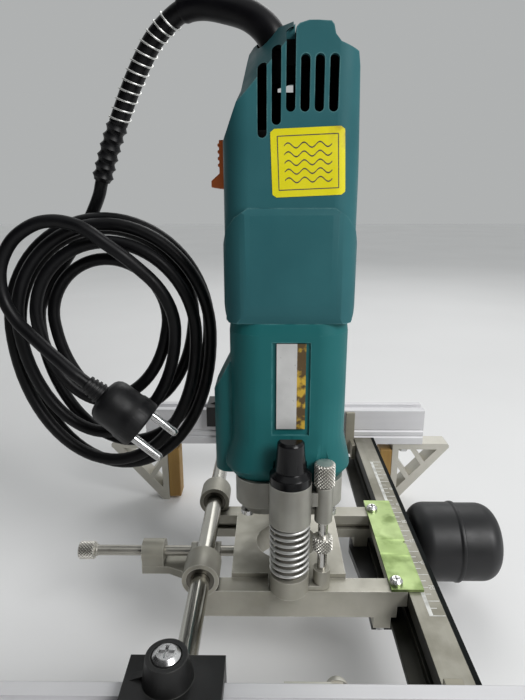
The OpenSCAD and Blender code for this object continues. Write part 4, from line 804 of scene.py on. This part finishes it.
# Yellow label on the upper housing: bare but for a thin frame and wavy lines
UPPER_FRONT, UPPER_CORNER, UPPER_HALF = -28, 12, 31
LABEL_MID = (6.3, 213.5)
LABEL_W, LABEL_H, LABEL_ROUND = 32.4, 28.4, 1.8
LABEL_TILT = math.radians(2.4)
LABEL_ROWS, LABEL_COLUMNS = 24, 32
LABEL_PROUD, INK_PROUD, LABEL_BACK = 0.2, 0.24, 0.12
BORDER_W, BORDER_H, BORDER_LINE, BORDER_STEPS = 13.2, 11.2, 0.2, 24
WAVES, WAVE_CRESTS, WAVE_STEPS = 5, 3, 48
WAVE_HALF, WAVE_APART, WAVE_RISE, WAVE_LINE = 10.4, 3.6, 1.1, 0.28
STAIN_X, STAIN_Z = (0.017, 0.023), (0.281, 0.2885)  # metres, from clean to stained


def on_upper_front(x, proud):
    """Depth of the upper housing's front face at x, a little proud of it."""
    over = abs(x - HOUSING_SHIFT) - (UPPER_HALF - UPPER_CORNER)
    if over <= 0:
        return UPPER_FRONT - proud
    return UPPER_FRONT + UPPER_CORNER - math.sqrt(UPPER_CORNER ** 2 - over ** 2) - proud


def label_material():
    """Yellow film with a brown stain in its upper right corner."""
    look = Look("label_yellow", 0.32)
    base = look.ramp(look.noise(40, 4), (0.3, (0.76, 0.68, 0.01)), (0.7, (0.85, 0.77, 0.018)))
    right = look.ramp(look.coordinate("X"), (STAIN_X[0], 0.0), (STAIN_X[1], 1.0))
    high = look.ramp(look.coordinate("Z"), (STAIN_Z[0], 0.0), (STAIN_Z[1], 1.0))
    corner = look.maths("MULTIPLY", right, high)
    stain = look.maths("MULTIPLY", corner, look.ramp(look.noise(160, 4), (0.38, 0.2), (0.58, 1.0)))
    look.color(look.mix(stain, base, (0.3, 0.17, 0.03)))
    look.rough(look.ramp(look.noise(90, 3), (0.3, 0.26), (0.7, 0.42)))
    look.bump(look.noise(300, 2), 0.04, 0.1)
    return look.mat


def print_material(name, rough, scale, detail, low, high):
    """Printed or engraved paint between two (position, colour) stops."""
    look = Look(name, rough)
    look.color(look.ramp(look.noise(scale, detail), low, high))
    return look.mat


def label_point(u, v, proud):
    """Point of the label at u, v from its middle, in millimetres."""
    x = LABEL_MID[0] + u * math.cos(LABEL_TILT) - v * math.sin(LABEL_TILT)
    z = LABEL_MID[1] + u * math.sin(LABEL_TILT) + v * math.cos(LABEL_TILT)
    return at(x, on_upper_front(x, proud), z)


label = Shape()


def sheet_on_label(lines, proud, index):
    """Thin closed sheet given as rows of (u, v) points, with a back a little deeper."""
    wide, tall = len(lines[0]), len(lines)
    count = wide * tall
    flat = [spot for row in lines for spot in row]
    points = [label_point(u, v, proud - deeper) for deeper in (0, LABEL_BACK) for u, v in flat]
    faces = []
    for j in range(tall - 1):
        for i in range(wide - 1):
            cell = [j * wide + i, j * wide + i + 1, (j + 1) * wide + i + 1, (j + 1) * wide + i]
            faces += [cell, [count + k for k in reversed(cell)]]
    border = list(range(wide)) + [j * wide + wide - 1 for j in range(1, tall)]
    border += [count - 1 - i for i in range(1, wide)] + [j * wide for j in range(tall - 2, 0, -1)]
    faces += [[b, a, count + a, count + b] for a, b in zip(border, border[1:] + border[:1])]
    label.add(points, faces, index)


def ink_line(line, half):
    """Printed line through (u, v) points, from half below to half above."""
    sheet_on_label([[(u, v + s * half) for u, v in line] for s in (-1, 1)], INK_PROUD, 1)


rows = []
for j in range(LABEL_ROWS + 1):
    v = LABEL_H * (j / LABEL_ROWS - 0.5)
    pull = max(0.0, abs(v) - (LABEL_H / 2 - LABEL_ROUND))
    half = LABEL_W / 2 - (LABEL_ROUND - math.sqrt(max(0.0, LABEL_ROUND ** 2 - pull ** 2)))
    rows.append([(half * (2 * i / LABEL_COLUMNS - 1), v) for i in range(LABEL_COLUMNS + 1)])
sheet_on_label(rows, LABEL_PROUD, 0)
for s in (-1, 1):
    edges = (s * BORDER_W - BORDER_LINE, s * BORDER_W + BORDER_LINE)
    sheet_on_label([[(u, v) for u in edges] for v in (-BORDER_H, 0, BORDER_H)], INK_PROUD, 1)
    line = [(BORDER_W * (2 * i / BORDER_STEPS - 1), s * BORDER_H) for i in range(BORDER_STEPS + 1)]
    ink_line(line, BORDER_LINE)
for k in range(WAVES):
    line = []
    for i in range(WAVE_STEPS + 1):
        rise = WAVE_RISE * math.sin(i / WAVE_STEPS * WAVE_CRESTS * 2 * math.pi)
        line.append((WAVE_HALF * (2 * i / WAVE_STEPS - 1), WAVE_APART * (k - (WAVES - 1) / 2) + rise))
    ink_line(line, WAVE_LINE)
label_ink = print_material("label_ink", 0.45, 500, 3, (0.3, (0.03, 0.025, 0.05)), (0.7, (0.07, 0.06, 0.09)))
piece("label", label, [label_material(), label_ink], "head", slot="housing_plastic")

# Bare plate in the window of the lower housing
PLATE_AT = (0, -28.6, 109.5)
PLATE_HALF_W, PLATE_HALF_H, PLATE_THICK = 7.1, 22, 0.5
PLATE_BAND_FROM = 0.0043  # metres


def plate_material():
    """Worn pale plate with a stained yellow band at its right edge."""
    look = Look("plate_white", 0.35, 0.2)
    base = look.ramp(look.noise(60, 5), (0.3, (0.5, 0.5, 0.49)), (0.7, (0.66, 0.66, 0.65)))
    band = look.maths("GREATER_THAN", look.coordinate("X"), PLATE_BAND_FROM)
    stain = look.ramp(look.noise(170, 5), (0.42, (0.62, 0.4, 0.04)), (0.52, (0.1, 0.06, 0.02)))
    look.color(look.mix(band, base, stain))
    look.rough(look.ramp(look.noise(200, 4), (0.3, 0.25), (0.7, 0.5)))
    look.bump(look.noise(500, 3), 0.08, 0.1)
    return look.mat


plate = Shape()
plate.slab(place(PLATE_AT, FRONT), -PLATE_HALF_W, -PLATE_HALF_H, PLATE_HALF_W, PLATE_HALF_H, 0.0, PLATE_THICK)
piece("bare_plate", plate, [plate_material()], "head", slot="housing_plastic")

# Engraved scale on the rail: border line, ticks every 5 mm and plain numbers, closed at both ends
SCALE_FROM, SCALE_STEPS, SCALE_STEP = -56, 32, 5
LONG_EVERY, NUMBER_EVERY = 2, 4
SCALE_LEFT, SCALE_INNER, TICK_SHORT, TICK_LONG = 6.2, 8.2, 11.4, 14.2
SCALE_LINE, SCALE_HAIR, SCALE_THICK = 0.5, 0.02, 0.04
DIGIT_W, DIGIT_H, DIGIT_STEP, DIGIT_LINE, DIGIT_AFTER = 1.0, 2.6, 1.6, 0.3, 0.6
STROKES = {
    "top": (0, 2, 1, 2), "right_up": (1, 1, 1, 2), "right_low": (1, 0, 1, 1), "low": (0, 0, 1, 0),
    "left_low": (0, 0, 0, 1), "left_up": (0, 1, 0, 2), "middle": (0, 1, 1, 1)
}
MISSING = {
    "0": ("middle",), "1": ("top", "low", "left_low", "left_up", "middle"), "2": ("left_up", "right_low"),
    "4": ("top", "low", "left_low"), "6": ("right_up",), "8": ()
}
scale = Shape()
rail_frame = Matrix.Translation(at(RAIL_X, SCALE_FROM, RAIL_TOP))


def mark(x0, y0, x1, y1):
    """Flat bar of the scale on the rail's top."""
    scale.slab(rail_frame, x0, y0, x1, y1, 0.0, SCALE_THICK)


def number(value, x, y):
    """Plain number; a hair parts its strokes, so that none lies on another."""
    half = DIGIT_LINE / 2
    inset = {0: half + SCALE_HAIR, 1: SCALE_HAIR, 2: half + SCALE_HAIR}
    for k, digit in enumerate(str(value)):
        left = x + k * DIGIT_STEP
        for name, (u0, v0, u1, v1) in STROKES.items():
            if name in MISSING[digit]:
                continue
            wide = -half - SCALE_HAIR if name == "middle" else half
            low, high = y + v0 * DIGIT_H / 2, y + v1 * DIGIT_H / 2
            if v0 == v1:
                mark(left + u0 * DIGIT_W - wide, low - half, left + u1 * DIGIT_W + wide, high + half)
            else:
                middle = left + u0 * DIGIT_W
                mark(middle - half, low + inset[v0], middle + half, high - inset[v1])


for k in range(SCALE_STEPS + 1):
    y = SCALE_STEP * k
    numbered = k % NUMBER_EVERY == 0 and 0 < k < SCALE_STEPS
    reach = TICK_LONG if k % LONG_EVERY == 0 and not numbered else TICK_SHORT
    mark(SCALE_INNER + SCALE_HAIR, y - SCALE_LINE / 2, reach, y + SCALE_LINE / 2)
    if numbered:
        number(y, TICK_SHORT + DIGIT_AFTER, y - DIGIT_H / 2)
mark(SCALE_LEFT, -SCALE_LINE / 2, SCALE_INNER, SCALE_STEP * SCALE_STEPS + SCALE_LINE / 2)
scale_white = print_material("scale_white", 0.5, 160, 4, (0.35, (0.5, 0.5, 0.47)), (0.6, (0.8, 0.8, 0.77)))
piece("rail_scale", scale, [scale_white], "frame", slot="rail_metal")

# Dark strip along the right edge of the rail's top
STRIP_LAP, STRIP_SIDE, STRIP_END, STRIP_THICK = 0.4, 0.1, 0.5, 0.06
rail_ends = [v.co.y / MM - ROW.y - SCALE_FROM for v in frame["nodes"]["scale_rail"].data.vertices]
strip = Shape()
strip.slab(rail_frame, RAIL_W - RAIL_DARK_EDGE - STRIP_LAP, min(rail_ends) + STRIP_END,
           RAIL_W - STRIP_SIDE, max(rail_ends) - STRIP_END, 0.0, STRIP_THICK)
piece("rail_strip", strip, [painted_shade_and_black], "frame", slot="rail_metal")


# Floor, dark cards that the camera does not see, and light; lengths from here on are in metres
def plain_look(name, rough, shine, low, high):
    """Grey between two levels, for what is not part of the object."""
    look = Look(name, rough, shine=shine)
    look.color(look.ramp(look.noise(3, 2), (0.3, low), (0.7, high)))
    return look.mat


def staged(name, corners, material):
    """Flat sheet of the stage."""
    data = bpy.data.meshes.new(name)
    data.from_pydata(corners, [], [[0, 1, 2, 3]])
    data.materials.append(material)
    sheet = bpy.data.objects.new(name, data)
    scene.collection.objects.link(sheet)
    return sheet


FLOOR = 6
CARD_NEAR, CARD_LEFT, CARD_RIGHT, CARD_BACK = -1.5, -1.5, 0.9, 0.6
CARD_LOW, CARD_TOP = 0.01, 2.2
floor_pale = plain_look("floor_pale", 0.7, 0.5, 0.86, 0.9)
card_dark = plain_look("card_dark", 0.9, 0.1, 0.02, 0.03)
staged("floor", [(-FLOOR, -FLOOR, 0), (FLOOR, -FLOOR, 0), (FLOOR, FLOOR, 0), (-FLOOR, FLOOR, 0)], floor_pale)
near_corner = (CARD_LEFT, CARD_NEAR)
for name, far_corner in (("near_card", (CARD_RIGHT, CARD_NEAR)), ("left_card", (CARD_LEFT, CARD_BACK))):
    low_edge = [(*near_corner, CARD_LOW), (*far_corner, CARD_LOW)]
    top_edge = [(*far_corner, CARD_TOP), (*near_corner, CARD_TOP)]
    card = staged(name, low_edge + top_edge, card_dark)
    card.visible_camera = False

SKY_COLOR = (0.86, 0.88, 0.88, 1)
SKY_LIGHT, SKY_SHINE = 0.5, 0.7
world = bpy.data.worlds.new("studio")
scene.world = world
world.use_nodes = True
nodes, links = world.node_tree.nodes, world.node_tree.links
background = nodes["Background"]
background.inputs["Color"].default_value = SKY_COLOR
ray = nodes.new("ShaderNodeLightPath")
either = nodes.new("ShaderNodeMath")
either.operation = "MAXIMUM"
level = nodes.new("ShaderNodeMath")
level.operation = "MULTIPLY_ADD"
level.inputs[1].default_value = SKY_SHINE - SKY_LIGHT
level.inputs[2].default_value = SKY_LIGHT
links.new(ray.outputs["Is Glossy Ray"], either.inputs[0])
links.new(ray.outputs["Is Transmission Ray"], either.inputs[1])
links.new(either.outputs[0], level.inputs[0])
links.new(level.outputs[0], background.inputs["Strength"])


def area_light(name, spot, size, power):
    """Square lamp that shines at the lit point."""
    data = bpy.data.lights.new(name, "AREA")
    data.size = size
    data.energy = power
    lamp = bpy.data.objects.new(name, data)
    scene.collection.objects.link(lamp)
    lamp.location = spot
    lamp.rotation_euler = (Vector(LIT_POINT) - Vector(spot)).to_track_quat("-Z", "Y").to_euler()


LIT_POINT = (0, 0, 0.15)
area_light("key", (0.85, -0.85, 1.0), size=0.7, power=16)
area_light("back", (0.3, 1.1, 1.2), size=0.9, power=5)
